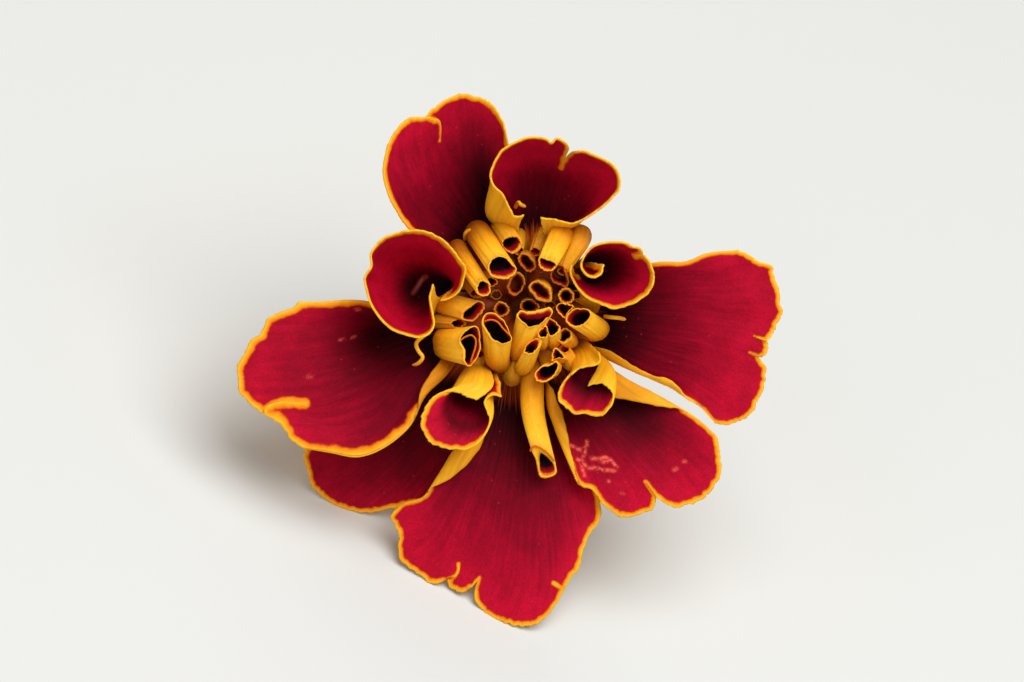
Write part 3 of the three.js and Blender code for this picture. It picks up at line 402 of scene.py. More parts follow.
DISC_FLORETS = [
    dict(height=6, back=(-2.3, 7.6, 2.9), body=1, dull=0.3,
        rim=[(-0.25, 6.3), (-0.6, 6.95), (-1.3, 7), (-2, 6.6), (-2.1, 6), (-1.7, 5.5), (-1.1, 5.25), (-0.5, 5.6)],
        bore=[(-0.7, 6.4), (-1, 6.6), (-1.5, 6.35), (-1.95, 6.15), (-1.85, 5.8), (-1.4, 5.65), (-1, 5.95)]),
    dict(height=7.5, back=(-4.4, 7.2, 3.6), body=1.25,
        rim=[(-0.75, 3.75), (-1.1, 4.25), (-1.6, 4.85), (-2.2, 5.1), (-2.8, 4.95), (-3.25, 4.5), (-3.45, 3.7),
             (-3.1, 3.1), (-2.5, 2.9), (-1.9, 2.8), (-1.2, 3.15)],
        bore=[(-1, 3.75), (-1.45, 4.15), (-1.75, 4.65), (-2.3, 4.85), (-2.8, 4.7), (-3.05, 4.2), (-3, 3.55),
              (-2.6, 3.35), (-2, 3.35), (-1.4, 3.5)]),
    dict(height=7, back=(-6.3, 5.9, 3.5), body=0.95,
        rim=[(-3.15, 2), (-3.4, 2.6), (-3.9, 2.85), (-4.4, 2.5), (-4.6, 1.9), (-4.2, 1.35), (-3.7, 1.3), (-3.3, 1.5)],
        bore=[(-3.45, 2.1), (-3.65, 2.3), (-3.95, 2.5), (-4.2, 2.2), (-4.15, 1.8), (-3.85, 1.55), (-3.5, 1.75)]),
    dict(height=6.3, back=(-3.6, 3.2, 4), body=0.5,
        rim=[(-2.5, 2.65), (-2.9, 2.95), (-3.4, 3.1), (-3.55, 2.6), (-3.3, 2.1), (-2.95, 2.2)],
        bore=[(-2.75, 2.65), (-3.1, 2.85), (-3.35, 2.9), (-3.35, 2.5), (-3.2, 2.25), (-2.9, 2.4)]),
    dict(height=5.6, back=(0.2, 4.7, 3), dull=0.75,
        rim=[(1, 4), (0.75, 4.7), (0.3, 5.2), (-0.3, 5.3), (-0.65, 4.9), (-0.5, 4.3), (-0.1, 3.8), (0.5, 3.55)],
        bore=[(0.65, 4), (0.45, 4.4), (0.2, 4.85), (-0.15, 4.95), (-0.2, 4.5), (0.05, 4.15), (0.35, 3.85)]),
    dict(height=5.2, back=(-0.9, 2.5, 2.6), dull=0.8,
        rim=[(0, 2.4), (-0.1, 3.1), (-0.5, 3.55), (-1, 3.45), (-1.4, 2.9), (-1.7, 2.1), (-1.4, 1.5), (-0.8, 1.35),
             (-0.25, 1.8)],
        bore=[(-0.35, 2.4), (-0.5, 2.95), (-0.75, 3.15), (-1.05, 2.75), (-1.3, 2.1), (-1.1, 1.7), (-0.65, 1.75)]),
    dict(height=6, back=(1.5, 2, 3), dull=0.45,
        rim=[(2.55, 1.2), (2.35, 2), (1.8, 2.55), (1.1, 2.8), (0.5, 2.55), (0.3, 2), (0.7, 1.4), (1.2, 0.9),
             (1.8, 0.7), (2.4, 0.75)],
        bore=[(2.05, 1.35), (1.65, 1.85), (1.3, 2.3), (0.95, 2.4), (0.75, 2.15), (1.05, 1.8), (1.45, 1.4),
            (1.9, 1.15)]),
    dict(height=7, back=(3.5, 7.3, 3.8), body=1.3,
        rim=[(2.95, 4.3), (2.5, 4.7), (1.9, 4.85), (1.45, 4.95), (1.2, 4.5), (1.35, 3.95), (1.8, 3.65), (2.35, 3.6),
             (2.8, 3.85)],
        bore=[(2.6, 4.15), (2.15, 4.3), (1.75, 4.6), (1.5, 4.55), (1.55, 4.2), (1.9, 3.95), (2.35, 3.9)]),
    dict(height=5.1, back=(5.2, 6.9, 4), body=1.45, dull=0.2, bore_depth=0.15,
        rim=[(4, 3.5), (3.8, 3.9), (3.4, 4), (3.1, 3.8), (3.1, 3.4), (3.5, 3.2), (3.8, 3.3)],
        bore=[(3.8, 3.5), (3.65, 3.7), (3.45, 3.75), (3.3, 3.6), (3.35, 3.45), (3.55, 3.4), (3.7, 3.4)]),
    dict(height=5.8, back=(3.1, 3.4, 3), dull=0.9,
        rim=[(4.05, 2.6), (3.85, 3.6), (3.4, 4.2), (2.8, 4.1), (2.4, 3.4), (2.5, 2.75), (3.2, 2.3), (3.8, 2.1)],
        bore=[(3.75, 2.6), (3.6, 3.3), (3.35, 3.9), (2.9, 3.8), (2.6, 3.3), (2.75, 2.9), (3.3, 2.6), (3.65, 2.4)]),
    dict(height=6, back=(3.7, 1.3, 3), dull=0.4,
        rim=[(4.65, 1.2), (4.4, 1.8), (3.8, 2.05), (3.25, 1.8), (3.05, 1.25), (3.4, 0.75), (3.9, 0.6), (4.4, 0.75)],
        bore=[(4.25, 1.3), (4, 1.6), (3.65, 1.6), (3.45, 1.3), (3.65, 1), (4.05, 0.95)]),
    dict(height=5, back=(0.3, 0.5, 2.6), dull=0.8,
        rim=[(1.3, 0.3), (0.95, 0.8), (0.4, 1), (-0.2, 0.9), (-0.45, 0.4), (-0.2, -0.1), (0.4, -0.25), (1, -0.15)],
        bore=[(0.95, 0.3), (0.6, 0.6), (0.15, 0.75), (-0.15, 0.5), (-0.05, 0.1), (0.4, 0), (0.8, 0.05)]),
    dict(height=5.2, back=(-2.3, 0, 2.6), dull=0.7,
        rim=[(-1.45, 0.1), (-1.8, 0.65), (-2.35, 0.8), (-2.8, 0.4), (-2.9, -0.2), (-2.45, -0.65), (-1.9, -0.6),
             (-1.55, -0.3)],
        bore=[(-1.8, 0.1), (-2.15, 0.4), (-2.5, 0.25), (-2.55, -0.1), (-2.3, -0.4), (-1.95, -0.25)]),
    dict(height=6.1, back=(-7.4, 0.6, 3.4), body=1.15, dull=0.4,
        rim=[(-3.75, 0.3), (-4.1, 0.8), (-4.7, 0.75), (-5.3, 0.35), (-5.9, -0.2), (-5.95, -0.7), (-5.5, -1.05),
             (-4.8, -1), (-4.2, -0.5)],
        bore=[(-4, 0.3), (-4.35, 0.55), (-4.8, 0.2), (-5.3, -0.3), (-5.5, -0.65), (-5.1, -0.8), (-4.6, -0.6),
              (-4.2, -0.1)]),
    dict(height=7.4, back=(-0.6, -3.9, 4.3), body=1.1,
        rim=[(2.6, -0.1), (2.3, 0.25), (1.6, 0.15), (0.9, -0.02), (0.2, -0.12), (-0.5, -0.05), (-0.85, -0.45),
             (-0.5, -0.95), (-0.1, -1.3), (0.4, -1.6), (1, -1.5), (1.6, -1.25), (1.95, -0.9), (2.4, -0.6)],
        bore=[(2.35, -0.25), (2.1, -0.15), (1.8, -0.4), (1.5, -0.55), (1, -0.55), (0.4, -0.6), (0, -0.4),
              (-0.4, -0.3), (-0.4, -0.6), (0, -1.05), (0.35, -1.4), (1, -1.3), (1.55, -1.05), (1.8, -0.75),
              (2.2, -0.6)]),
    dict(height=7.3, back=(1.6, -3.2, 4.4), body=0.55,
        rim=[(2.15, -1.9), (1.95, -1.4), (1.6, -1.65), (1.2, -2.05), (1.2, -2.5), (1.7, -2.65), (2.05, -2.45)],
        bore=[(1.98, -1.9), (1.85, -1.65), (1.6, -1.9), (1.4, -2.2), (1.5, -2.4), (1.85, -2.35)]),
    dict(height=7, back=(2.6, -2.9, 3.8), body=0.75,
        rim=[(3.35, -1.75), (3.1, -1.3), (2.7, -0.95), (2.3, -0.75), (1.95, -1), (1.9, -1.5), (2.05, -2.1),
             (2.35, -2.45), (2.9, -2.2)],
        bore=[(3.05, -1.65), (2.75, -1.25), (2.35, -1), (2.15, -1.3), (2.25, -1.8), (2.4, -2.2), (2.75, -1.95)]),
    dict(height=7.2, back=(-0.2, -5.3, 4), body=0.9,
        rim=[(1.65, -2.7), (1.3, -2.55), (0.8, -2.75), (0.3, -3.1), (0, -3.6), (-0.1, -4), (0.4, -4.15), (0.9, -3.95),
             (1.35, -3.4)],
        bore=[(0.9, -3.1), (0.7, -2.95), (0.4, -3.2), (0.2, -3.6), (0.2, -3.8), (0.5, -3.85), (0.8, -3.6)]),
    dict(height=7.8, back=(-2.5, -4.8, 4.4), body=1.1,
        rim=[(-1.15, -2.6), (-1.45, -2.1), (-1.75, -1.4), (-2.1, -0.8), (-2.7, -0.35), (-3.4, -0.25), (-3.9, -0.6),
             (-4.05, -1.3), (-3.7, -2), (-3.2, -2.6), (-2.7, -3), (-2.1, -3.2), (-1.5, -3.05)],
        bore=[(-1.35, -2.6), (-1.65, -2.1), (-1.95, -1.45), (-2.4, -0.85), (-3, -0.5), (-3.5, -0.5), (-3.7, -0.9),
              (-3.55, -1.5), (-3.1, -2.1), (-2.7, -2.65), (-2.2, -2.98), (-1.6, -2.9)],
        fold=[(-3.8, -1.1, 7.55), (-3.45, -0.95, 7.8), (-3, -0.92, 7.85), (-2.5, -1.15, 7.85), (-2.05, -1.7, 7.85),
              (-1.6, -2.15, 7.8), (-1.35, -2.4, 7.55)]),
    dict(height=7.7, back=(-7.6, -2.9, 4), body=1.25,
        rim=[(-4.1, -2.8), (-4.2, -1.85), (-4.7, -1.45), (-5.4, -1.85), (-6.1, -2.6), (-6.15, -3.1), (-5.8, -3.7),
             (-5.75, -4.4), (-5.6, -4.9), (-5.1, -5.25), (-4.7, -4.8), (-4.35, -4.1), (-4.1, -3.4)],
        bore=[(-4.3, -2.8), (-4.4, -2), (-4.75, -1.7), (-5.3, -2.05), (-5.9, -2.7), (-5.65, -3.2), (-5.35, -3.65),
              (-5.3, -4.2), (-5.4, -4.7), (-5.05, -5.02), (-4.75, -4.5), (-4.4, -3.6)],
        fold=[(-6.1, -2.9, 7.7), (-5.55, -2.5, 7.9), (-4.95, -2.35, 7.9), (-4.6, -2.7, 7.85), (-4.6, -3.4, 7.8),
              (-4.85, -4.2, 7.75), (-5.05, -4.8, 7.6)]),
    dict(height=7.2, back=(6.7, -1.9, 4.1), body=1.15,
        rim=[(6.15, -0.4), (5.85, 0.05), (5.2, 0.18), (4.5, 0.05), (3.95, -0.35), (3.75, -0.9), (4.05, -1.45),
             (4.7, -1.7), (5.35, -1.5), (5.95, -1)],
        bore=[(5.9, -0.4), (5.5, -0.05), (4.8, -0.08), (4.25, -0.4), (4.05, -0.85), (4.4, -1.2), (5, -1.25),
              (5.65, -0.9)]),
    dict(height=6.6, back=(3.9, 0.1, 3.4), body=0.6, dull=0.1,
        rim=[(4.5, 0.3), (3.8, 0.65), (3.1, 0.6), (2.85, 0.2), (3.1, -0.3), (3.5, -0.7), (3.85, -0.8), (3.95, -0.3)],
        bore=[(4.2, 0.25), (3.7, 0.4), (3.2, 0.45), (3.1, 0.15), (3.4, -0.2), (3.7, -0.5), (3.8, -0.15)]),
    dict(height=6, back=(4.2, -2.9, 3.2), body=0.7, dull=0.25,
        rim=[(4.4, -2.3), (4, -1.75), (3.5, -1.7), (3.1, -2.2), (3, -2.8), (3.4, -3.15), (4, -3)],
        bore=[(4, -2.05), (3.65, -1.95), (3.4, -2.3), (3.3, -2.7), (3.5, -2.8), (3.8, -2.5)]),
    dict(height=6.5, back=(2.5, -5.2, 3.6), body=0.85,
        rim=[(3.15, -5.1), (2.95, -4.7), (2.6, -4.8), (2.3, -5.05), (1.7, -5.1), (1.2, -5.45), (0.95, -6),
             (1.1, -6.55), (1.7, -6.7), (2.3, -6.5), (2.8, -6.05), (3.1, -5.6)],
        bore=[(2.98, -5.1), (2.8, -5), (2.5, -5.2), (2.1, -5.4), (1.5, -5.5), (1.25, -5.9), (1.35, -6.3),
              (1.85, -6.35), (2.3, -6.1), (2.75, -5.7)]),
    dict(height=6.2, back=(3.4, -4.4, 3.4), body=0.55,
        rim=[(3.75, -4.5), (3.4, -3.95), (2.95, -3.45), (2.6, -3.6), (2.55, -4.1), (2.45, -4.7), (3, -4.55)],
        bore=[(3.45, -4.35), (3.15, -3.95), (2.85, -3.75), (2.78, -4.1), (2.85, -4.4), (3.1, -4.4)]),
]

# Florets that stand low between the others: height, back, body, dull, and the mouth's middle and half sizes.
LOW_FLORETS = [
    (5.7, (-8.2, -1, 3.2), 0.9, 0.6, (-6.2, -1.25), (0.8, 0.35)),
    (4.6, (-5.4, 3.2, 3), 0.9, 0.7, (-4.5, 1.5), (0.6, 0.4)),
    (4.4, (1.7, 7, 2.8), 1, 0.65, (0.95, 5.4), (0.55, 0.4)),
    (4.3, (-0.6, 7, 2.4), 0.9, 0.6, (-0.6, 5.5), (0.5, 0.4)),
    (4.4, (6.7, 0.6, 3), 1, 0.15, (4.7, 1.4), (0.5, 0.4)),
    (4.3, (-1.2, -6.3, 3.2), 1.1, 0.45, (-0.75, -3.6), (0.55, 0.4)),
    (4.3, (-4.6, -6, 3), 1.1, 0.45, (-4.15, -4), (0.55, 0.4)),
    (4.6, (4.4, -5, 3.4), 1, 0.3, (3.7, -3.6), (0.5, 0.4)),
    (4, (1.7, 0.4, 2.2), 0.8, 0.85, (2.35, 0.45), (0.55, 0.35)),
    (4, (-1.4, 4.4, 2.4), 0.8, 0.85, (-1.55, 4.3), (0.55, 0.4)),
    (4, (-2.9, 1.4, 2.2), 0.8, 0.85, (-2.65, 1.4), (0.55, 0.4)),
    (4.1, (1.6, 3.6, 2.2), 0.75, 0.85, (1.6, 3.2), (0.4, 0.3)),
]

# Healed scratches and pale specks, as seen square on, by petal.
SCARS = {
    "petal_4": [
        [(4.2, -12.6), (4.8, -12.85), (5.3, -13), (5.75, -12.6), (5.8, -12.2)],
        [(5.6, -13), (5.45, -13.7), (5.3, -14.3), (5.5, -15.4)],
        [(4.9, -13.9), (5.3, -14.2), (6, -14.7), (6.7, -14.7), (7.3, -14.9), (7.9, -14.9), (8.4, -15)],
        [(6.2, -13.8), (6.8, -13.85), (7.4, -13.7), (7.9, -13.9), (8.2, -14.2), (8.5, -14.6)],
        [(7.1, -14.1), (7.4, -14.15), (7.7, -14)],
        [(7.7, -15.9), (7.8, -15.9)],
        [(9, -17), (9.1, -17.05)],
        [(13.9, -14.9), (14.1, -14.75)],
        [(14.8, -14.1), (14.9, -14.1)],
    ],
    "petal_7": [
        [(-20.2, -6.2), (-20, -6.25)],
        [(-16, -2.5), (-15.9, -2.5)],
        [(-17, -2.75), (-16.95, -2.75)],
        [(-15.6, 0.1), (-15.5, 0)],
    ],
}

# Styles: thin threads that stand beside or inside the florets.
STYLES = [
    [(-8.9, -2, 5), (-10.1, -3.1, 6.4), (-9.9, -3.8, 6.9), (-9.5, -4.4, 6.9), (-10, -5, 6.8), (-10.5, -5.1, 6.6)],
    [(7.4, -0.6, 4.6), (8.3, -0.7, 5.4), (8.8, -0.75, 5.7), (9.4, -0.9, 5.7)],
    [(-5.6, 6.6, 3.4), (-5.5, 7.2, 4.4), (-5.1, 7.4, 4.8), (-4.9, 7, 4.9)],
    [(-0.9, 9.6, 4.2), (-0.6, 10, 5), (-0.4, 9.8, 5.4), (0.1, 9.6, 5.4)],
]
# painted shade: a style deep in trumpet a's throat, drawn all in a dark brown red for the shade it stands in
SHADED_STYLE = [(-9.2, 3.1, 6.2), (-9.6, 2.8, 6.9), (-10.1, 2, 7.2), (-10.6, 1.3, 7.2)]


# ---- Lines and surfaces ---------------------------------------------------------------------------


class Line:
    """A smooth line through places, read by share of its length."""

    SPAN_STEPS = 24
    SOFT_STEPS = 400

    def __init__(self, places, closed=False):
        points = np.array(places, float)
        if closed:
            padded = np.vstack([points[-1:], points, points[:2]])
        else:
            padded = np.vstack([2 * points[0] - points[1], points, 2 * points[-1] - points[-2]])
        step = np.linspace(0, 1, self.SPAN_STEPS, endpoint=False)[:, None]
        run = []
        for a, b, c, d in zip(padded, padded[1:], padded[2:], padded[3:]):
            before, span, after = (max(1e-6, np.linalg.norm(q - p) ** 0.5) for p, q in ((a, b), (b, c), (c, d)))
            leave = ((b - a) / before - (c - a) / (before + span) + (c - b) / span) * span
            arrive = ((c - b) / span - (d - b) / (span + after) + (d - c) / after) * span
            square, cube = 3 * (c - b) - 2 * leave - arrive, 2 * (b - c) + leave + arrive
            run.append(b + leave * step + square * step**2 + cube * step**3)
        run.append(points[:1] if closed else points[-1:])
        self.places = np.vstack(run)
        lengths = np.linalg.norm(np.diff(self.places, axis=0), axis=1)
        self.length = lengths.sum()
        self.shares = np.concatenate([[0], np.cumsum(lengths) / self.length])

    def at(self, share):
        return np.stack([np.interp(share, self.shares, column) for column in self.places.T], -1)

    def softened(self, reach):
        """The same line without its steps shorter than reach; its ends and its shares stay."""
        shares = np.linspace(0, 1, self.SOFT_STEPS + 1)
        places = self.at(shares)
        spread = reach / self.length * self.SOFT_STEPS
        taps = np.arange(-int(3 * spread), int(3 * spread) + 1)
        weights = np.exp(-0.5 * (taps / spread) ** 2)
        pad = len(taps) // 2
        before, after = 2 * places[0] - places[pad:0:-1], 2 * places[-1] - places[-2 : -pad - 2 : -1]
        padded = np.vstack([before, places, after])
        soft = Line.__new__(Line)
        soft.places = np.column_stack([np.convolve(c, weights / weights.sum(), "valid") for c in padded.T])
        soft.shares, soft.length = shares, self.length
        return soft


def smooth(low, high, value):
    """0 below low, 1 above high and a smooth step between."""
    share = np.clip((value - low) / (high - low), 0, 1)
    return share * share * (3 - 2 * share)


def bell(across, along, at_across, at_along, wide, long):
    """1 at a place on a petal, fading out over its spreads across and along."""
    apart = ((across - at_across) / wide) ** 2 + ((along - at_along) / long) ** 2
    return np.exp(-apart)


def unit(vectors):
    return vectors / np.maximum(np.linalg.norm(vectors, axis=-1, keepdims=True), 1e-9)


def wander(seed, pitch, length, closed=False):
    """A smooth seeded random line, about -1 to 1, that changes every pitch along a length."""
    count = max(4, int(length / pitch) + 2)
    knots = np.random.RandomState(seed).uniform(-1, 1, count)
    if closed:
        knots[-1] = knots[0]

    def at(share):
        place = np.clip(share, 0, 1) * (count - 1)
        low = np.minimum(place.astype(int), count - 2)
        blend = smooth(0, 1, place - low)
        return knots[low] * (1 - blend) + knots[low + 1] * blend

    return at


def claw_place(petal, across, height):
    """A place on the claw's cross-section: share 0 is its clockwise edge and 1 the other."""
    azimuth = math.radians(petal["claw"])
    sideways = (np.asarray(across, float) - 0.5) * CLAW_WIDTH
    return np.stack([
        CLAW_RING * math.cos(azimuth) - sideways * math.sin(azimuth),
        CLAW_RING * math.sin(azimuth) + sideways * math.cos(azimuth),
        np.full_like(sideways, height),
    ], -1)


class Blade:
    """A petal's middle surface as a function of its share across and along."""

    STEP = 1.1  # steps of the end margin shorter than this fade out inside the blade
    STEP_FADE = 0.6  # share along at which they are gone

    def __init__(self, petal):
        self.petal = petal
        self.flare = petal.get("flare", 1.0)
        self.bulge = np.array(petal["bulge"], float)
        self.end = Line(petal["end"])
        if "outline" in petal:
            course = Line(petal["outline"])
            heights = self.end.at(course.shares)[:, 2]
            course.places = np.column_stack([course.places, heights])
            self.end = course
        self.soft_end = self.end.softened(self.STEP)
        first, last = self.end.places[0], self.end.places[-1]
        self.right = Line([claw_place(petal, 0.0, CLAW_TOP), *petal["right"], first])
        self.left = Line([claw_place(petal, 1.0, CLAW_TOP), *petal["left"], last])

    def at(self, across, along):
        opened = (along ** self.flare)[..., None]
        share = across[..., None]

        def straight(side):
            claw = claw_place(self.petal, side, CLAW_TOP)
            return claw + (self.soft_end.at(side) - claw) * opened

        right, left = straight(np.zeros_like(across)), straight(np.ones_like(across))
        place = straight(across)
        place = place + (self.right.at(along) - right) * (1 - share) + (self.left.at(along) - left) * share
        middle = 16 * across * (1 - across) * along * (1 - along)
        place = place + self.bulge * middle[..., None]
        for *spot, push in self.petal.get("swells", []):
            place = place + bell(across, along, *spot)[..., None] * np.array(push, float)
        step = self.end.at(across) - self.soft_end.at(across)
        return place + step * smooth(self.STEP_FADE, 1.0, along)[..., None]

    def find(self, tip):
        """The shares across and along of the place nearest to a tip in the face plane."""
        across, along = np.meshgrid(np.linspace(0.02, 0.98, 97), np.linspace(0.4, 1, 61), indexing="ij")
        plan = self.at(across, along)[..., :2]
        best = np.argmin(((plan - np.array(tip)) ** 2).sum(-1))
        return across.flat[best], along.flat[best]


def grid_normals(grid):
    along, across = np.gradient(grid, axis=0), np.gradient(grid, axis=1)
    return unit(np.cross(along, across))


def grid_quads(index):
    """The faces between neighbouring places of a grid of place numbers."""
    return np.stack([index[:-1, :-1], index[1:, :-1], index[1:, 1:], index[:-1, 1:]], -1)


ROLL_STEPS, FLAP_STEPS = 9, 3  # faces round a curled margin's roll, and along its flap


def curl_strip(grid, along, curl, width):
    """Places that carry a side margin on round a roll and back over the blade, and their shares across."""
    edge, inner = (-1, -3) if curl["side"] == "left" else (0, 2)
    shares, radii, turns, flaps = (np.array(column, float) for column in zip(*curl["spans"]))
    radius, turn = np.interp(along, shares, radii), np.radians(np.interp(along, shares, turns))
    flap = np.interp(along, shares, flaps)
    margin = unit(np.gradient(grid[:, edge], axis=0))
    up = grid_normals(grid)[:, inner]
    out = unit(np.cross(margin, up))
    facing = np.sign((out * (grid[:, edge] - grid[:, inner])).sum(-1, keepdims=True))
    out *= np.where(facing == 0, 1, facing)
    strip, reach = [], []
    for step in range(1, ROLL_STEPS + FLAP_STEPS + 1):
        angle = turn * min(1.0, step / ROLL_STEPS)
        onward = flap * max(0.0, (step - ROLL_STEPS) / FLAP_STEPS)
        sideways = radius * np.sin(angle) + onward * np.cos(angle)
        upwards = radius * (1 - np.cos(angle)) + onward * np.sin(angle)
        strip.append(grid[:, edge] + out * sideways[:, None] + up * upwards[:, None])
        reach.append((radius * angle + onward) / width)
    return np.stack(strip, 1), np.stack(reach, 1)


# ---- Meshes ---------------------------------------------------------------------------------------


def resting_matrix():
    """The turn and shift, in metres, that bring the three feet onto the surface, face to the front (-Y)."""
    stem, petal_5, petal_6 = (Vector(foot) for foot in FEET)
    up = (petal_6 - stem).cross(petal_5 - stem).normalized()
    if up.z < 0:
        up.negate()
    back = (Vector((0, 0, -1)) + up * up.z).normalized()
    turn = Matrix((back.cross(up), back, up))
    lift = -(turn @ stem).z - FOOT_FLAT
    return Matrix.Translation(Vector((*WORLD_PLACE, lift)) * MM) @ turn.to_4x4() @ Matrix.Scale(MM, 4)


RESTING = resting_matrix()


def new_piece(name, shape, materials, stands_for, flatten=False):
    """A named mesh of the laid flower from its shape: places, faces, material numbers and facts."""
    places, faces, slots, facts = shape
    matrix = np.array(RESTING)
    places = np.asarray(places, float) @ matrix[:3, :3].T + matrix[:3, 3]
    if flatten:
        places[:, 2] = np.maximum(places[:, 2], 0.0)
    mesh = bpy.data.meshes.new(name)
    mesh.from_pydata(places.tolist(), [], [tuple(face) for face in faces])
    mesh.polygons.foreach_set("use_smooth", [True] * len(mesh.polygons))
    for material in materials:
        mesh.materials.append(material)
    mesh.polygons.foreach_set("material_index", np.asarray(slots, np.int32))
    for fact, values in facts.items():
        mesh.attributes.new(fact, "FLOAT", "POINT").data.foreach_set("value", np.asarray(values, np.float32))
    mesh.update()
    piece = bpy.data.objects.new(name, mesh)
    bpy.context.scene.collection.objects.link(piece)
    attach(piece, "root")
    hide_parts(*stands_for)
    return piece


EDGE_ROUNDING = 1.1  # how far a sheet's rim stands out, in half thicknesses


def thicken(middle, quads, thickness):
    """A closed sheet with a rounded rim around a middle surface: places, faces, sides, origins and rim.

    sides is 0 for the upper face and 1 for the back and the rim; origins says which middle place each
    place came from, and rim which middle places lie on the margin.
    """
    count = len(middle)
    diagonals = np.cross(middle[quads[:, 2]] - middle[quads[:, 0]], middle[quads[:, 3]] - middle[quads[:, 1]])
    normals = np.zeros_like(middle)
    for corner in range(4):
        np.add.at(normals, quads[:, corner], diagonals)
    normals = unit(normals)
    edges = np.concatenate([quads[:, [i, (i + 1) % 4]] for i in range(4)])
    key = edges[:, 0] * count + edges[:, 1]
    back_key = edges[:, 1] * count + edges[:, 0]
    a, b = edges[~np.isin(key, back_key)].T
    outward = np.zeros_like(middle)
    pushes = unit(np.cross(middle[b] - middle[a], normals[a] + normals[b]))
    np.add.at(outward, a, pushes)
    np.add.at(outward, b, pushes)
    rim = np.unique([a, b])
    number = np.full(count, -1)
    number[rim] = 2 * count + np.arange(len(rim))
    half = (0.5 * np.broadcast_to(thickness, count))[:, None]
    edge_places = middle[rim] + unit(outward[rim]) * half[rim] * EDGE_ROUNDING
    places = np.vstack([middle + normals * half, middle - normals * half, edge_places])
    faces = np.vstack([
        quads,
        quads[:, ::-1] + count,
        np.column_stack([b, a, number[a], number[b]]),
        np.column_stack([number[b], number[a], a + count, b + count]),
    ])
    sides = np.ones(len(faces), int)
    sides[: len(quads)] = 0
    return places, faces, sides, np.concatenate([np.arange(count), np.arange(count), rim]), rim


def chunks(count, size=2000):
    """Slices of a long list, so that a table of distances stays small."""
    return [slice(start, start + size) for start in range(0, count, size)]


FAR = 9.0  # stands for any distance that is too far to count
OWN_MARGIN = 2.6  # how near a margin place has to be on the flat petal, so that no other fold's counts


def margin_distance(middle, rim, course, inset):
    """Distance of every place to the nearest margin place that is also near on the flat petal.

    inset makes a stretch of the margin count as that much further off, so its golden line is thinner.
    """
    nearest = np.full(len(middle), FAR)
    for part in chunks(len(middle)):
        apart = np.linalg.norm(middle[part, None] - middle[rim][None], axis=-1) + inset[rim][None]
        apart[np.abs(course[part, None] - course[rim][None]).max(-1) > OWN_MARGIN] = FAR
        nearest[part] = apart.min(1)
    return nearest


SCAR_REACH = (0.27, 0.03)  # a scratch fades out between these distances from its line


def scar_share(name, places):
    """How far each place lies on one of the petal's healed scratches, as seen square on."""
    share = np.zeros(len(places))
    for course in SCARS.get(name, []):
        dots = Line(course).places[:, :2]
        for part in chunks(len(places)):
            apart = np.linalg.norm(places[part, None, :2] - dots[None], axis=-1).min(1)
            share[part] = np.maximum(share[part], smooth(*SCAR_REACH, apart))
    return share


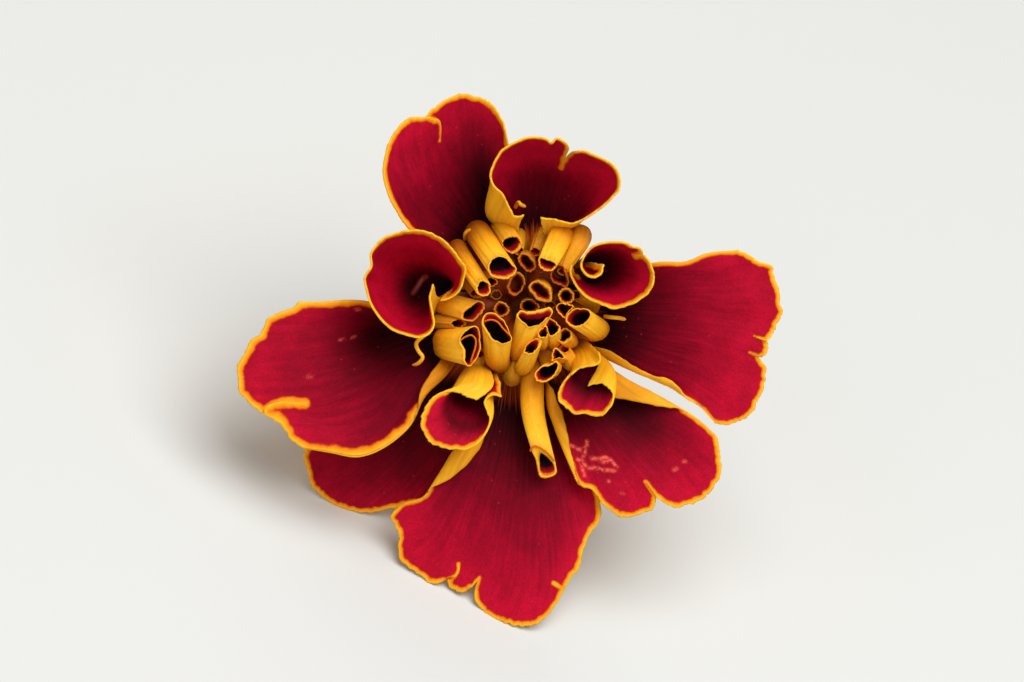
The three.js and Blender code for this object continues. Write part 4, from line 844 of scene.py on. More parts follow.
class Sheet:
    """A petal's middle surface as a grid of places, from its claw to its end margin.

    flat holds millimetres across the flat petal, along the share along it, and inset how much thinner
    the golden line is; splits holds each notch's column and the row of its inner end.
    """

    COLUMNS = (70, 270)  # fewest and most
    CROWDING = 1.3  # how much closer the rows stand near the end margin
    LOBE_REACH = 4.0  # how far beside a notch its lobes move
    ROUND = ((1.1, 0.55), (1.1, 0.55))
    THIN = 0.16
    RIPPLE_PITCH, STREAK_PITCH, TOOTH_PITCH, SIDE_TOOTH_PITCH, SWAY_PITCH = 2.6, 1.3, 0.42, 0.5, 1.4
    TOOTH_REACH = 1.3  # how far into the blade the end margin's teeth move it
    SIDE_TOOTH = 0.5  # height of the side margins' teeth beside the end margin's
    CLAW_SHARE = 0.15  # share along, below 0, at which the claw's foot counts

    def __init__(self, petal, seed, sizes):
        self.petal, self.seed, self.tooth = petal, seed, sizes.tooth
        self.blade = Blade(petal)
        self.width = self.blade.end.length
        self.length = 0.5 * (self.blade.right.length + self.blade.left.length)
        self.alongs = 1 - (1 - np.linspace(0, 1, petal.get("rows", sizes.rows))) ** self.CROWDING
        self.lay_columns(sizes.column)
        self.open_notches()

    def lay_columns(self, spacing):
        """Shares across for the grid's columns, spacing millimetres apart, each notch's own twice over."""
        count = int(np.clip(self.width / spacing, *self.COLUMNS))
        columns = list(np.linspace(0, 1, count))
        self.notches = []
        for notch in self.petal.get("notches", []):
            across, along = self.blade.find(notch["tip"])
            nearest = min(range(1, count - 1), key=lambda i: abs(columns[i] - across))
            self.notches.append((columns[nearest], along, notch))
        for across, _, _ in sorted(self.notches, key=lambda cut: cut[0]):
            columns.insert(columns.index(across), across)
        self.shares = np.array(columns)

    def open_notches(self):
        """Draws each notch's two lobes apart or over each other, and rounds their corners."""
        shares, alongs, width = self.shares, self.alongs, self.width
        self.across = np.tile(shares, (len(alongs), 1))
        self.along = np.tile(alongs[:, None], (1, len(shares)))
        self.lift, self.inset, self.splits = np.zeros_like(self.across), np.zeros_like(self.across), []
        for notch_across, notch_along, notch in self.notches:
            first = int(np.argmax(shares == notch_across))
            row = int(np.argmin(abs(alongs - notch_along)))
            self.splits.append((first, row))
            self.inset[row:-3, first : first + 2] = notch.get("thin", self.THIN)
            spread = np.clip((alongs - alongs[row]) / (1 - alongs[row]), 0, 1)[:, None]
            for number, lobe in enumerate((slice(0, first + 1), slice(first + 1, None))):
                gap, proud = notch["gap"][number], notch["lift"][number]
                round_reach, round_depth = notch.get("round", self.ROUND)[number]
                apart = abs(shares[lobe] - notch_across) * width
                near = np.clip(1 - apart / self.LOBE_REACH, 0, 1) ** 2
                self.across[:, lobe] += (-1, 1)[number] * gap / width * spread ** notch.get("bend", 0.8) * near
                self.across[:, lobe] += notch.get("bow", 0.0) / width * np.sin(np.pi * spread) * near
                self.lift[:, lobe] += proud * np.sqrt(spread) * near
                corner = np.clip(1 - apart / round_reach, 0, 1) ** 2
                self.along[:, lobe] -= round_depth / self.length * corner * spread**3

    def wave(self, number, pitch):
        return wander(self.seed + number, pitch, self.width)(self.across)

    def bend(self, ripple):
        """Lays the grid on its blade, with ripples near its end, streaks and the end margin's fine teeth."""
        grid = self.blade.at(np.clip(self.across, 0, 1), self.along)
        normals = grid_normals(grid)
        for first, _ in self.splits:
            normals[:, first], normals[:, first + 1] = normals[:, first - 1], normals[:, first + 2]
        crinkle = self.wave(0, self.RIPPLE_PITCH) * smooth(0.5, 1.0, self.along) * ripple
        streaks = self.wave(1, self.STREAK_PITCH) * smooth(0.1, 0.7, self.along) * 0.25 * ripple
        grid = grid + normals * (self.lift + crinkle + streaks)[..., None]
        outwards = unit(np.gradient(grid, axis=0))
        near_end = smooth(1 - self.TOOTH_REACH / self.length, 1.0, self.along)
        teeth = 1.5 * np.abs(self.wave(2, self.TOOTH_PITCH)) - 0.6 + 0.6 * self.wave(3, self.SWAY_PITCH)
        self.grid = grid + outwards * (teeth * near_end * self.tooth)[..., None]
        self.flat = (self.across - 0.5) * self.width

    def curl(self, curl):
        """Carries one side margin on round its curl."""
        strip, reach = curl_strip(self.grid, self.alongs, curl, self.width)
        added = {
            "grid": strip, "flat": (0.5 + reach) * self.width,
            "along": np.tile(self.alongs[:, None], (1, strip.shape[1])), "inset": np.zeros(strip.shape[:2]),
        }
        if curl["side"] == "left":
            for key, values in added.items():
                setattr(self, key, np.concatenate([getattr(self, key), values], 1))
            return
        added["flat"] = -added["flat"]
        for key, values in added.items():
            setattr(self, key, np.concatenate([values[:, ::-1], getattr(self, key)], 1))
        self.splits = [(first + strip.shape[1], row) for first, row in self.splits]

    def fray(self):
        """Gives the side margins their teeth."""
        for edge, inner in ((0, 3), (-1, -4)):
            away = unit(self.grid[:, edge] - self.grid[:, inner])
            fine, slow = (
                wander(self.seed + number + edge, pitch, self.length)(self.alongs)
                for number, pitch in ((5, self.SIDE_TOOTH_PITCH), (7, self.SWAY_PITCH))
            )
            depth = self.SIDE_TOOTH * self.tooth * (np.abs(fine) + slow) * smooth(0.2, 0.5, self.alongs)
            self.grid[:, edge] += away * depth[:, None]

    def add_claw(self):
        """Puts a row below the others, for the claw's foot in the cup."""
        foot = claw_place(self.petal, np.linspace(0, 1, self.grid.shape[1]), CLAW_FOOT)
        self.grid = np.concatenate([foot[None], self.grid])
        self.flat = np.concatenate([self.flat[:1], self.flat])
        self.along = np.concatenate([self.along[:1] - self.CLAW_SHARE, self.along])
        self.inset = np.concatenate([self.inset[:1], self.inset])
        self.splits = [(first, row + 1) for first, row in self.splits]

    def cut(self):
        """The places in use, their faces with the notches cut open, and their flat, along and inset."""
        index = np.arange(self.grid.shape[0] * self.grid.shape[1]).reshape(self.grid.shape[:2])
        for first, row in self.splits:
            index[: row + 1, first + 1] = index[: row + 1, first]
        quads = grid_quads(index)
        keep = np.ones(quads.shape[1], bool)
        keep[[first for first, _ in self.splits]] = False
        used, quads = np.unique(quads[:, keep], return_inverse=True)
        facts = (values.reshape(-1)[used] for values in (self.flat, self.along, self.inset))
        return self.grid.reshape(-1, 3)[used], quads.reshape(-1, 4), *facts


def petal_shape(name, seed, sizes, ripple):
    """One petal as a thin sheet with a finely toothed golden margin."""
    petal = PETALS[name]
    sheet = Sheet(petal, seed, sizes)
    sheet.bend(ripple)
    for curl in petal.get("curls", []):
        sheet.curl(curl)
    sheet.fray()
    sheet.add_claw()
    middle, quads, flat, along, inset = sheet.cut()
    plan = middle[:, :2]
    thickness = sizes.blade * (1 + 0.8 * smooth(0.25, 0.0, along))  # the claw is fleshier
    places, faces, sides, origins, rim = thicken(middle, quads, thickness)
    along_mm = along * sheet.length
    rim = rim[along[rim] > 0.02]
    margin = margin_distance(middle, rim, np.column_stack([flat, along_mm]), inset)
    for crease in petal.get("creases", []):
        dots = np.linspace(*crease, 12)
        margin = np.minimum(margin, 1.6 * np.linalg.norm(plan[:, None] - dots, axis=-1).min(1))
    line_width = np.full(len(middle), petal.get("rim", USUAL_RIM))
    for spot, reach, extra in petal.get("wide", []):
        line_width += extra * np.exp(-((np.linalg.norm(plan - spot, axis=1) / reach) ** 2))
    # painted shade: troughs, throats, places under folds and the rolled petals' throats are darkened towards the
    # throat colour
    shade = np.zeros(len(middle))
    for *spot, amount in petal.get("shades", []):
        shade = np.maximum(shade, amount * bell(flat / sheet.width + 0.5, along, *spot))
    for spot, reach, amount in petal.get("hollows", []):
        shade = np.maximum(shade, amount * np.exp(-((np.linalg.norm(plan - spot, axis=1) / reach) ** 4)))
    # painted light and shade: each petal's own factor on along moves its red lower or higher in the ramp
    facts = {
        "margin_mm": margin * USUAL_RIM / line_width, "along": along * petal.get("blush", 1.0),
        "across_mm": flat, "along_mm": along_mm, "shade": shade,
    }
    facts = {fact: values[origins] for fact, values in facts.items()}
    facts["scar"] = scar_share(name, places)
    return places, faces, sides, facts


def low_floret(height, back, body, dull, middle, half_sizes):
    """The facts of a low floret, whose mouth is a plain hexagon with a smaller one for its bore."""
    corners = np.array([(1, 0), (0.45, 1), (-0.45, 1), (-1, 0), (-0.45, -1), (0.45, -1)])
    rim, bore = (np.array(middle) + corners * half_sizes * share for share in ((1, 1), (0.62, 0.5)))
    return {"height": height, "back": back, "body": body, "dull": dull, "rim": rim, "bore": bore}


OUTER_SHARES = (*np.linspace(0, 0.9, 14), 0.94, 0.97, 1)  # where a floret's outer rings stand
LIP_RINGS = ((0.3, 0.05), (0.7, 0.05), (1, 0))  # share of the way in over the lip, and rise
INNER_SHARES = (0.99, 0.975, 0.96, 0.94)  # where the first rings inside stand
GOLDEN_DEPTH = 7.0  # usual length of wall over which a floret turns from golden to brown


def tube_shape(floret, root, knee, sides, seed):
    """One tubular floret: outside from root to mouth, over its lip and down its bore."""
    shares = np.linspace(0, 1, sides, endpoint=False)
    fine, slow = (wander(*waves, 6.0, closed=True)(shares) for waves in ((seed, 0.2), (seed + 50, 0.6)))
    ragged = (fine + slow)[:, None]
    rim, throat = (Line(floret[edge], closed=True).at(shares) for edge in ("rim", "bore"))
    centre = np.array([*rim.mean(0), floret["height"]])
    axis = Line([root, knee, floret["back"], centre])
    body = floret.get("body", np.linalg.norm(rim - centre[:2], axis=1).mean())
    rim = rim + 0.05 * ragged * unit(rim - throat)
    bore = throat + (rim - throat) * floret.get("lip", 0.5) + 0.03 * ragged * unit(rim - throat)
    outwards = unit(np.array(floret["back"], float)[:2] - np.array(root, float)[:2] * 0.5)
    angles = 2 * np.pi * shares

    def ring(share, course, lift=0.0, roundness=1.0):
        """A ring that is round at the root and has the mouth's course at the top."""
        middle, ahead = axis.at(np.array(share)), axis.at(np.array(min(1.0, share + 0.01)))
        tangent = unit(ahead - axis.at(np.array(max(0.0, share - 0.01))))
        sideways = unit(np.array([1.0, 0, 0]) - tangent * tangent[0])
        upwards = np.cross(tangent, sideways)
        radius = roundness * body * min(1.0, 0.88 + 0.3 * share)
        round_ring = radius * (np.cos(angles)[:, None] * sideways + np.sin(angles)[:, None] * upwards)
        opened = share**3
        plan = course - centre[:2]
        height = floret.get("slope", 0.25) * (plan @ outwards) + lift + 0.06 * ragged[:, 0]
        return middle + round_ring * (1 - opened) + np.column_stack([plan, height]) * opened

    outside = [ring(share, rim) for share in OUTER_SHARES]
    lip = [ring(1.0, rim + (bore - rim) * share, lift) for share, lift in LIP_RINGS]
    inside = [
        ring(share, bore + (throat - bore) * smooth(0.99, 0.93, share), roundness=0.72)
        for share in [*INNER_SHARES, *np.linspace(0.9, 1 - floret.get("bore_depth", 0.5), 7)]
    ]
    rings = np.array(outside + lip + inside)
    places, faces = turned_mesh(rings)
    count, top, inner = len(rings), len(outside) - 1, len(outside) + len(lip) - 1
    slots = [0 if face // sides < inner else 1 for face in range((count - 1) * sides)] + [0, 1]
    run = np.concatenate([[0], np.cumsum(np.linalg.norm(np.diff(rings, axis=0), axis=-1).mean(1))])
    from_lip = np.where(np.arange(count) <= top, run[top] - run, np.maximum(0, run - run[inner]))
    depth = from_lip / floret.get("golden", GOLDEN_DEPTH)
    depth[top + 1 : inner + 1] = np.linspace(0.05, 0.5, len(lip))  # the lip browns over its own width
    facts = {
        "margin_mm": np.repeat(from_lip, sides), "along_mm": np.repeat(run[top] - from_lip, sides),
        "across_mm": np.tile(angles, count) * body, "dull": np.full(count * sides, floret.get("dull", 0.0)),
        "depth": np.repeat(depth, sides),
    }
    return places, faces, slots, facts


def fold_shape(course, depth, seed):
    """A second lip inside a mouth: a thin wall that hangs from a course of places."""
    line = Line(course)
    shares = np.linspace(0, 1, 60)
    top = line.at(shares)
    top[:, 2] += 0.04 * wander(seed, 0.25, line.length)(shares)
    downs = np.linspace(0, depth, 14)
    middle = (top[None] - downs[:, None, None] * np.array([0, 0, 1.0])).reshape(-1, 3)
    quads = grid_quads(np.arange(len(middle)).reshape(len(downs), len(shares))).reshape(-1, 4)
    places, faces, _, origins, _ = thicken(middle, quads, FOLD_THICKNESS)
    from_lip = np.repeat(downs, len(shares))[origins]
    facts = {
        "margin_mm": from_lip, "along_mm": from_lip, "depth": from_lip / GOLDEN_DEPTH,
        "across_mm": np.tile(shares * line.length, len(downs))[origins], "dull": np.zeros(len(places)),
    }
    return places, faces, np.ones(len(faces), int), facts


def join_shapes(shapes):
    """Several shapes as one: places, faces, slots and facts."""
    places, faces, slots, facts, base = [], [], [], {}, 0
    for part_places, part_faces, part_slots, part_facts in shapes:
        places.append(part_places)
        faces += [tuple(int(i) + base for i in face) for face in part_faces]
        slots += list(part_slots)
        for fact, values in part_facts.items():
            facts.setdefault(fact, []).append(values)
        base += len(part_places)
    return np.vstack(places), faces, slots, {fact: np.concatenate(values) for fact, values in facts.items()}


def turned_mesh(rings):
    """A closed skin over rings of places, capped at both ends."""
    count, sides = rings.shape[:2]
    faces = []
    for low in range(0, (count - 1) * sides, sides):
        for side in range(sides):
            after = (side + 1) % sides
            faces.append((low + side, low + after, low + sides + after, low + sides + side))
    faces.append(tuple(range(sides))[::-1])
    faces.append(tuple((count - 1) * sides + side for side in range(sides)))
    return rings.reshape(-1, 3), faces


def thread_shape(places, radius, dull=0.0, sides=10, steps=26):
    """A thin round thread through places that narrows towards its tip; dull: how far it takes the dark brown red of
    painted shade.
    """
    shares = np.linspace(0, 1, steps)
    centres = Line(places).at(shares)
    tangents = unit(np.gradient(centres, axis=0))
    sideways = unit(np.cross(tangents, np.array([0.3, 0.2, 1.0])))
    upwards = np.cross(tangents, sideways)
    angles = np.linspace(0, 2 * np.pi, sides, endpoint=False)
    taper = radius * np.where(shares > 0.9, np.sqrt(np.clip(1 - (shares - 0.9) / 0.105, 0.05, 1)), 1.0)
    rings = centres[:, None] + taper[:, None, None] * (
        np.cos(angles)[None, :, None] * sideways[:, None] + np.sin(angles)[None, :, None] * upwards[:, None]
    )
    places, faces = turned_mesh(rings)
    facts = {"along": np.repeat(shares, sides), "dull": np.full(len(places), dull)}
    return places, faces, [0] * len(faces), facts


# ---- Materials ------------------------------------------------------------------------------------


def colour(code):
    """A linear colour from an sRGB hex code."""
    parts = [int(code[i : i + 2], 16) / 255 for i in (1, 3, 5)]
    return (*[part / 12.92 if part <= 0.04045 else ((part + 0.055) / 1.055) ** 2.4 for part in parts], 1.0)


def add(tree, kind, inputs=None, **settings):
    """Adds a shader node; inputs are values or sockets to link, by name or number, and settings its own."""
    node = tree.nodes.new("ShaderNode" + kind)
    for number, (position, code) in enumerate(settings.pop("stops", [])):
        if number >= len(node.color_ramp.elements):
            node.color_ramp.elements.new(position)
        node.color_ramp.elements[number].position = position
        node.color_ramp.elements[number].color = colour(code)
    for key, value in settings.items():
        setattr(node, key, value)
    for key, value in (inputs or {}).items():
        if isinstance(value, bpy.types.NodeSocket):
            tree.links.new(value, node.inputs[key])
        else:
            node.inputs[key].default_value = value
    return node


def new_material(name):
    """A material without nodes, its tree, and the place in the piece, in metres, for its patterns."""
    material = bpy.data.materials.new(name)
    material.use_nodes = True
    tree = material.node_tree
    tree.nodes.clear()
    return material, tree, add(tree, "TexCoord").outputs["Object"]


def lengthwise(tree, slowness):
    """A place in millimetres across the piece, and slowed along it, so that a pattern runs in streaks."""
    along, across = [
        add(tree, "Attribute", attribute_name=fact).outputs["Fac"]
        for fact in ("along_mm", "across_mm")
    ]
    slow = add(tree, "Math", {0: along, 1: slowness}, operation="MULTIPLY").outputs[0]
    return add(tree, "CombineXYZ", {"X": across, "Y": slow}).outputs[0]


def uneven(tree, value, pattern, amount):
    """A value that a pattern moves up and down within an amount."""
    shift = add(tree, "Math", {0: pattern, 1: amount, 2: -0.5 * amount}, operation="MULTIPLY_ADD")
    return add(tree, "Math", {0: value, 1: shift.outputs[0]}, operation="ADD").outputs[0]


def lightened(tree, base, pattern, darkest, brightest):
    """A colour whose brightness a pattern moves between two shares of it."""
    share = add(tree, "MapRange", {
        "Value": pattern, "From Min": 0.3, "From Max": 0.7, "To Min": darkest, "To Max": brightest,
    }).outputs[0]
    return add(tree, "HueSaturation", {"Color": base, "Value": share}).outputs["Color"]


def surface(tree, height, strength, relief_mm, sockets):
    """Ends a material: its relief as a bump, its shader with the sockets given, and its output."""
    bump = add(tree, "Bump", {"Height": height, "Strength": strength, "Distance": relief_mm * MM})
    shader = add(tree, "BsdfPrincipled", {**sockets, "Normal": bump.outputs["Normal"]})
    add(tree, "OutputMaterial", {"Surface": shader.outputs[0]})


# Patterns: PER_MM gives a scale from how many of its cells fit in a millimetre of the real flower.
# Streaks have their scale in millimetres already.
PER_MM = 1 / MM


def petal_upper_material(looks):
    """Petal upper face: living tissue, cone-shaped cells filled with deep red sap.

    The cells give it a velvet look: dark and rich square on, with a soft sheen at a slant. The margin
    has no red sap, so it shows the golden yellow that lies under all of it.
    """
    material, tree, place = new_material("petal upper face, velvet red with golden margin")
    margin, along, shade, scar = [
        add(tree, "Attribute", attribute_name=fact).outputs["Fac"]
        for fact in ("margin_mm", "along", "shade", "scar")
    ]
    # veins 0.6 mm apart
    streaks = add(tree, "TexNoise", {
        "Vector": lengthwise(tree, 0.12), "Scale": 1.6, "Detail": 5.0, "Roughness": 0.6,
    }).outputs["Fac"]
    # mottles 2.4 mm wide, cells 0.2 mm wide (ten times the real ones, so that they show), the margin's
    # waver of 1.1 mm, and gaps of 0.4 mm in the scratches
    mottle, grain, waver, gaps = [
        add(tree, "TexNoise", {
            "Vector": place, "Scale": cells * PER_MM, "Detail": detail, "Roughness": roughness,
        }).outputs["Fac"]
        for cells, detail, roughness in ((0.42, 4.0, 0.6), (5.2, 3.0, 0.7), (0.9, 3.0, 0.5), (2.4, 4.0, 0.7))
    ]
    # the red deepens to almost black towards the claw, partly the petal's own dark red and partly painted shade deep
    # in the flower, and the claw itself is orange brown
    red = add(tree, "ValToRGB", {"Fac": uneven(tree, along, streaks, 0.34)}, stops=[
        (0.0, looks.floret_base), (0.09, looks.claw_light), (0.16, looks.claw), (0.22, looks.throat),
        (0.34, looks.deep), (0.60, looks.red), (0.95, looks.bright),
    ]).outputs["Color"]
    # painted shade: the red is mixed towards the throat colour as far as the shade fact says
    shaded = add(tree, "Mix", {0: shade, 6: red, 7: colour(looks.throat)}, data_type="RGBA")
    tone, fine = [
        add(tree, "MapRange", {
            "Value": pattern, "From Min": 0.3, "From Max": 0.7, "To Min": 0.8, "To Max": brightest,
        }).outputs[0]
        for pattern, brightest in ((mottle, 1.15), (grain, 1.18))
    ]
    value = add(tree, "Math", {0: tone, 1: fine}, operation="MULTIPLY").outputs[0]
    toned = add(tree, "HueSaturation", {"Color": shaded.outputs[2], "Value": value}).outputs["Color"]
    # scattered pale cells, 1.4 mm apart
    flecks = add(tree, "TexVoronoi", {"Vector": place, "Scale": 0.7 * PER_MM}, feature="F1")
    fleck = add(tree, "MapRange", {
        "Value": flecks.outputs["Distance"], "From Min": 0.10, "From Max": 0.02, "To Min": 0.0, "To Max": 0.35,
    }, interpolation_type="SMOOTHSTEP").outputs[0]
    flecked = add(tree, "Mix", {0: fleck, 6: toned, 7: colour(looks.fleck)}, data_type="RGBA")
    # the golden margin, with an uneven inner edge
    edge = uneven(tree, margin, waver, 0.36)
    gold = add(tree, "ValToRGB", {"Fac": edge}, stops=[
        (0.0, looks.gold_light), (0.16, looks.gold), (0.30, looks.amber), (0.40, looks.ember), (1.0, looks.red),
    ]).outputs["Color"]
    rim = add(tree, "MapRange", {
        "Value": edge, "From Min": 0.30, "From Max": 0.52, "To Min": 1.0, "To Max": 0.0,
    }, interpolation_type="SMOOTHSTEP").outputs[0]
    finished = add(tree, "Mix", {0: rim, 6: flecked.outputs[2], 7: gold}, data_type="RGBA").outputs[2]
    # healed scratches, broken up by gaps
    healed = add(tree, "MapRange", {
        "Value": gaps, "From Min": 0.36, "From Max": 0.6, "To Min": 0.0, "To Max": 1.0,
    }).outputs[0]
    broken = add(tree, "Math", {0: scar, 1: healed}, operation="MULTIPLY").outputs[0]
    scarred = add(tree, "Mix", {0: broken, 6: finished, 7: colour(looks.scar)}, data_type="RGBA")
    height = add(tree, "Math", {0: streaks, 1: 2.5, 2: grain}, operation="MULTIPLY_ADD").outputs[0]
    surface(tree, height, 0.35, 0.08, {
        "Base Color": scarred.outputs[2], "Roughness": 0.7, "Specular IOR Level": 0.06, "Sheen Weight": 0.05,
        "Sheen Roughness": 0.4, "Sheen Tint": colour(looks.sheen), "Subsurface Weight": 0.04,
        "Subsurface Scale": 0.5 * MM, "Subsurface Radius": (1.0, 0.25, 0.1),
    })
    return material


def petal_back_material(looks):
    """Petal back: smooth living tissue without the red sap, golden yellow, satin."""
    material, tree, place = new_material("petal back, satin golden yellow")
    along = add(tree, "Attribute", attribute_name="along").outputs["Fac"]
    # veins 0.45 mm apart
    veins = add(tree, "TexNoise", {
        "Vector": lengthwise(tree, 0.08), "Scale": 2.2, "Detail": 4.0, "Roughness": 0.55,
    }).outputs["Fac"]
    # mottles 2.6 mm wide, and a grain of 0.24 mm, coarser than the real cells so that it shows
    mottle, grain = [
        add(tree, "TexNoise", {"Vector": place, "Scale": cells * PER_MM, "Detail": detail}).outputs["Fac"]
        for cells, detail in ((0.38, 4.0), (4.2, 2.0))
    ]
    base = add(tree, "ValToRGB", {"Fac": uneven(tree, along, mottle, 0.4)}, stops=[
        (0.0, looks.back_base), (0.22, looks.back_deep), (0.55, looks.back), (1.0, looks.back_light),
    ]).outputs["Color"]
    toned = lightened(tree, base, veins, 0.8, 1.12)
    height = add(tree, "Math", {0: veins, 1: 3.0, 2: grain}, operation="MULTIPLY_ADD").outputs[0]
    surface(tree, height, 0.3, 0.08, {
        "Base Color": toned, "Roughness": 0.55, "Specular IOR Level": 0.15, "Subsurface Weight": 0.1,
        "Subsurface Scale": 0.5 * MM, "Subsurface Radius": (1.0, 0.5, 0.05),
    })
    return material


def floret_outside_material(looks):
    """Disc floret outside: smooth fleshy tissue, golden at the lip and orange brown at the base."""
    material, tree, place = new_material("disc floret outside, fleshy golden yellow")
    depth, dull = [
        add(tree, "Attribute", attribute_name=fact).outputs["Fac"] for fact in ("depth", "dull")
    ]
    # veins 0.45 mm apart, and a grain of 0.2 mm, coarser than the real cells so that it shows
    veins, grain = [
        add(tree, "TexNoise", {"Vector": course, "Scale": scale, "Detail": detail}).outputs["Fac"]
        for course, scale, detail in ((lengthwise(tree, 0.2), 2.2, 4.0), (place, 5.2 * PER_MM, 3.0))
    ]
    share = uneven(tree, depth, veins, 0.2)
    bright, brown = [
        add(tree, "ValToRGB", {"Fac": share}, stops=stops).outputs["Color"]
        for stops in (
            [(0.0, looks.gold), (0.03, looks.gold_light), (0.12, looks.back_light), (0.38, looks.back),
             (0.62, looks.floret_base), (1.0, looks.claw)],
            [(0.0, looks.dull_lip), (0.2, looks.dull), (1.0, looks.dull_base)],
        )
    ]
    # painted shade: the florets that stand in shade in the middle take the brown ramp as far as their dull fact says
    base = add(tree, "Mix", {0: dull, 6: bright, 7: brown}, data_type="RGBA").outputs[2]
    toned = lightened(tree, base, grain, 0.93, 1.05)
    height = add(tree, "Math", {0: veins, 1: 2.5, 2: grain}, operation="MULTIPLY_ADD").outputs[0]
    surface(tree, height, 0.2, 0.06, {
        "Base Color": toned, "Roughness": 0.55, "Specular IOR Level": 0.15, "Subsurface Weight": 0.12,
        "Subsurface Scale": 0.5 * MM, "Subsurface Radius": (1.0, 0.5, 0.05),
    })
    return material


def floret_inside_material(looks):
    """Disc floret inside: a golden lip that turns to dark red brown within a fraction of a millimetre, nearly black
    further down: partly the tube's own dark inside and partly painted shade.
    """
    material, tree, place = new_material("disc floret inside, dark red brown")
    from_lip = add(tree, "Attribute", attribute_name="margin_mm").outputs["Fac"]
    # mottles 0.7 mm wide
    mottle = add(tree, "TexNoise", {"Vector": place, "Scale": 1.5 * PER_MM, "Detail": 4.0}).outputs["Fac"]
    share = add(tree, "Math", {0: uneven(tree, from_lip, mottle, 0.4), 1: 2.4}, operation="DIVIDE")
    # deep in the tube the red turns near black, partly the tube's own dark inside and partly painted shade
    base = add(tree, "ValToRGB", {"Fac": share.outputs[0]}, stops=[
        (0.0, looks.amber), (0.02, looks.amber), (0.07, looks.bore), (0.3, looks.bore_deep), (1.0, looks.bore_deep),
    ]).outputs["Color"]
    surface(tree, mottle, 0.4, 0.1, {"Base Color": base, "Roughness": 0.7, "Specular IOR Level": 0.06})
    return material


def style_material(looks):
    """Style: a waxy thread, yellow at its foot and brown towards its tip."""
    material, tree, place = new_material("style, waxy yellow brown")
    along, dull = [
        add(tree, "Attribute", attribute_name=fact).outputs["Fac"] for fact in ("along", "dull")
    ]
    # a grain of 0.2 mm
    grain = add(tree, "TexNoise", {"Vector": place, "Scale": 5.0 * PER_MM, "Detail": 3.0}).outputs["Fac"]
    shifted = add(tree, "Math", {0: grain, 1: 0.3, 2: along}, operation="MULTIPLY_ADD").outputs[0]
    fresh = add(tree, "ValToRGB", {"Fac": shifted}, stops=[
        (0.0, looks.gold), (0.8, looks.back_light), (1.0, looks.style),
    ]).outputs["Color"]
    # painted shade: a style in shade is mixed to its dark colour as far as its dull fact says
    base = add(tree, "Mix", {0: dull, 6: fresh, 7: colour(looks.old_style)}, data_type="RGBA")
    surface(tree, grain, 0.4, 0.04, {"Base Color": base.outputs[2], "Roughness": 0.5, "Specular IOR Level": 0.15})
    return material


def green_material(looks, name, green, dark):
    """Green skin of the cup or stem: waxy and satin, finely ribbed, with paler ribs and oil glands."""
    material, tree, place = new_material(name)
    rib, spot = [
        add(tree, "Attribute", attribute_name=fact).outputs["Fac"] for fact in ("rib", "gland")
    ]
    # fibres 0.33 mm apart, mottles 2 mm wide and a grain of 0.22 mm
    fibres, mottle, grain = [
        add(tree, "TexNoise", {"Vector": course, "Scale": scale, "Detail": detail}).outputs["Fac"]
        for course, scale, detail in (
            (lengthwise(tree, 0.15), 3.0, 5.0), (place, 0.5 * PER_MM, 4.0), (place, 4.5 * PER_MM, 2.0))
    ]
    mixed = add(tree, "Math", {0: fibres, 1: 0.5, 2: mottle}, operation="MULTIPLY_ADD").outputs[0]
    share = add(tree, "Math", {0: rib, 1: 0.45, 2: mixed}, operation="MULTIPLY_ADD").outputs[0]
    skin = add(tree, "ValToRGB", {"Fac": share}, stops=[
        (0.35, dark), (0.75, green), (1.0, looks.green_light),
    ]).outputs["Color"]
    spotted = add(tree, "Mix", {0: spot, 6: skin, 7: colour(looks.gland)}, data_type="RGBA")
    height = add(tree, "Math", {0: fibres, 1: 2.0, 2: grain}, operation="MULTIPLY_ADD").outputs[0]
    surface(tree, height, 0.3, 0.1, {
        "Base Color": spotted.outputs[2], "Roughness": 0.42, "Specular IOR Level": 0.5,
        "Subsurface Weight": 0.1, "Subsurface Scale": 1.0 * MM,
    })
    return material


def pith_material(looks):
    """Cut stem: wet pale pith with a darker ring of skin and strands."""
    material, tree, place = new_material("cut stem, moist pale pith")
    rib = add(tree, "Attribute", attribute_name="rib").outputs["Fac"]
    # cells 0.22 mm wide and mottles 0.7 mm wide
    cells = add(tree, "TexVoronoi", {"Vector": place, "Scale": 4.5 * PER_MM}).outputs["Distance"]
    mottle = add(tree, "TexNoise", {"Vector": place, "Scale": 1.5 * PER_MM, "Detail": 4.0}).outputs["Fac"]
    share = add(tree, "Math", {0: mottle, 1: 0.3, 2: rib}, operation="MULTIPLY_ADD").outputs[0]
    base = add(tree, "ValToRGB", {"Fac": share}, stops=[
        (0.0, looks.pith), (0.75, looks.pith), (0.9, looks.green_light), (1.0, looks.stem),
    ]).outputs["Color"]
    surface(tree, cells, 0.5, 0.1, {"Base Color": base, "Roughness": 0.35})
    return material


def floor_material(looks):
    """Studio floor: matt white paper, so that nothing but soft shade shows on it."""
    material, tree, place = new_material("studio floor, matt paper")
    # a tooth of 1.1 mm
    tooth = add(tree, "TexNoise", {"Vector": place, "Scale": 0.9 * PER_MM, "Detail": 3.0}).outputs["Fac"]
    surface(tree, tooth, 0.05, 0.2, {
        "Base Color": colour(looks.floor), "Roughness": 0.9, "Specular IOR Level": 0.1,
    })
    return material


# ---- Settings -------------------------------------------------------------------------------------


def hex_property(name, description, default):
    return bpy.props.StringProperty(name=name, description=description, default=default, maxlen=7)


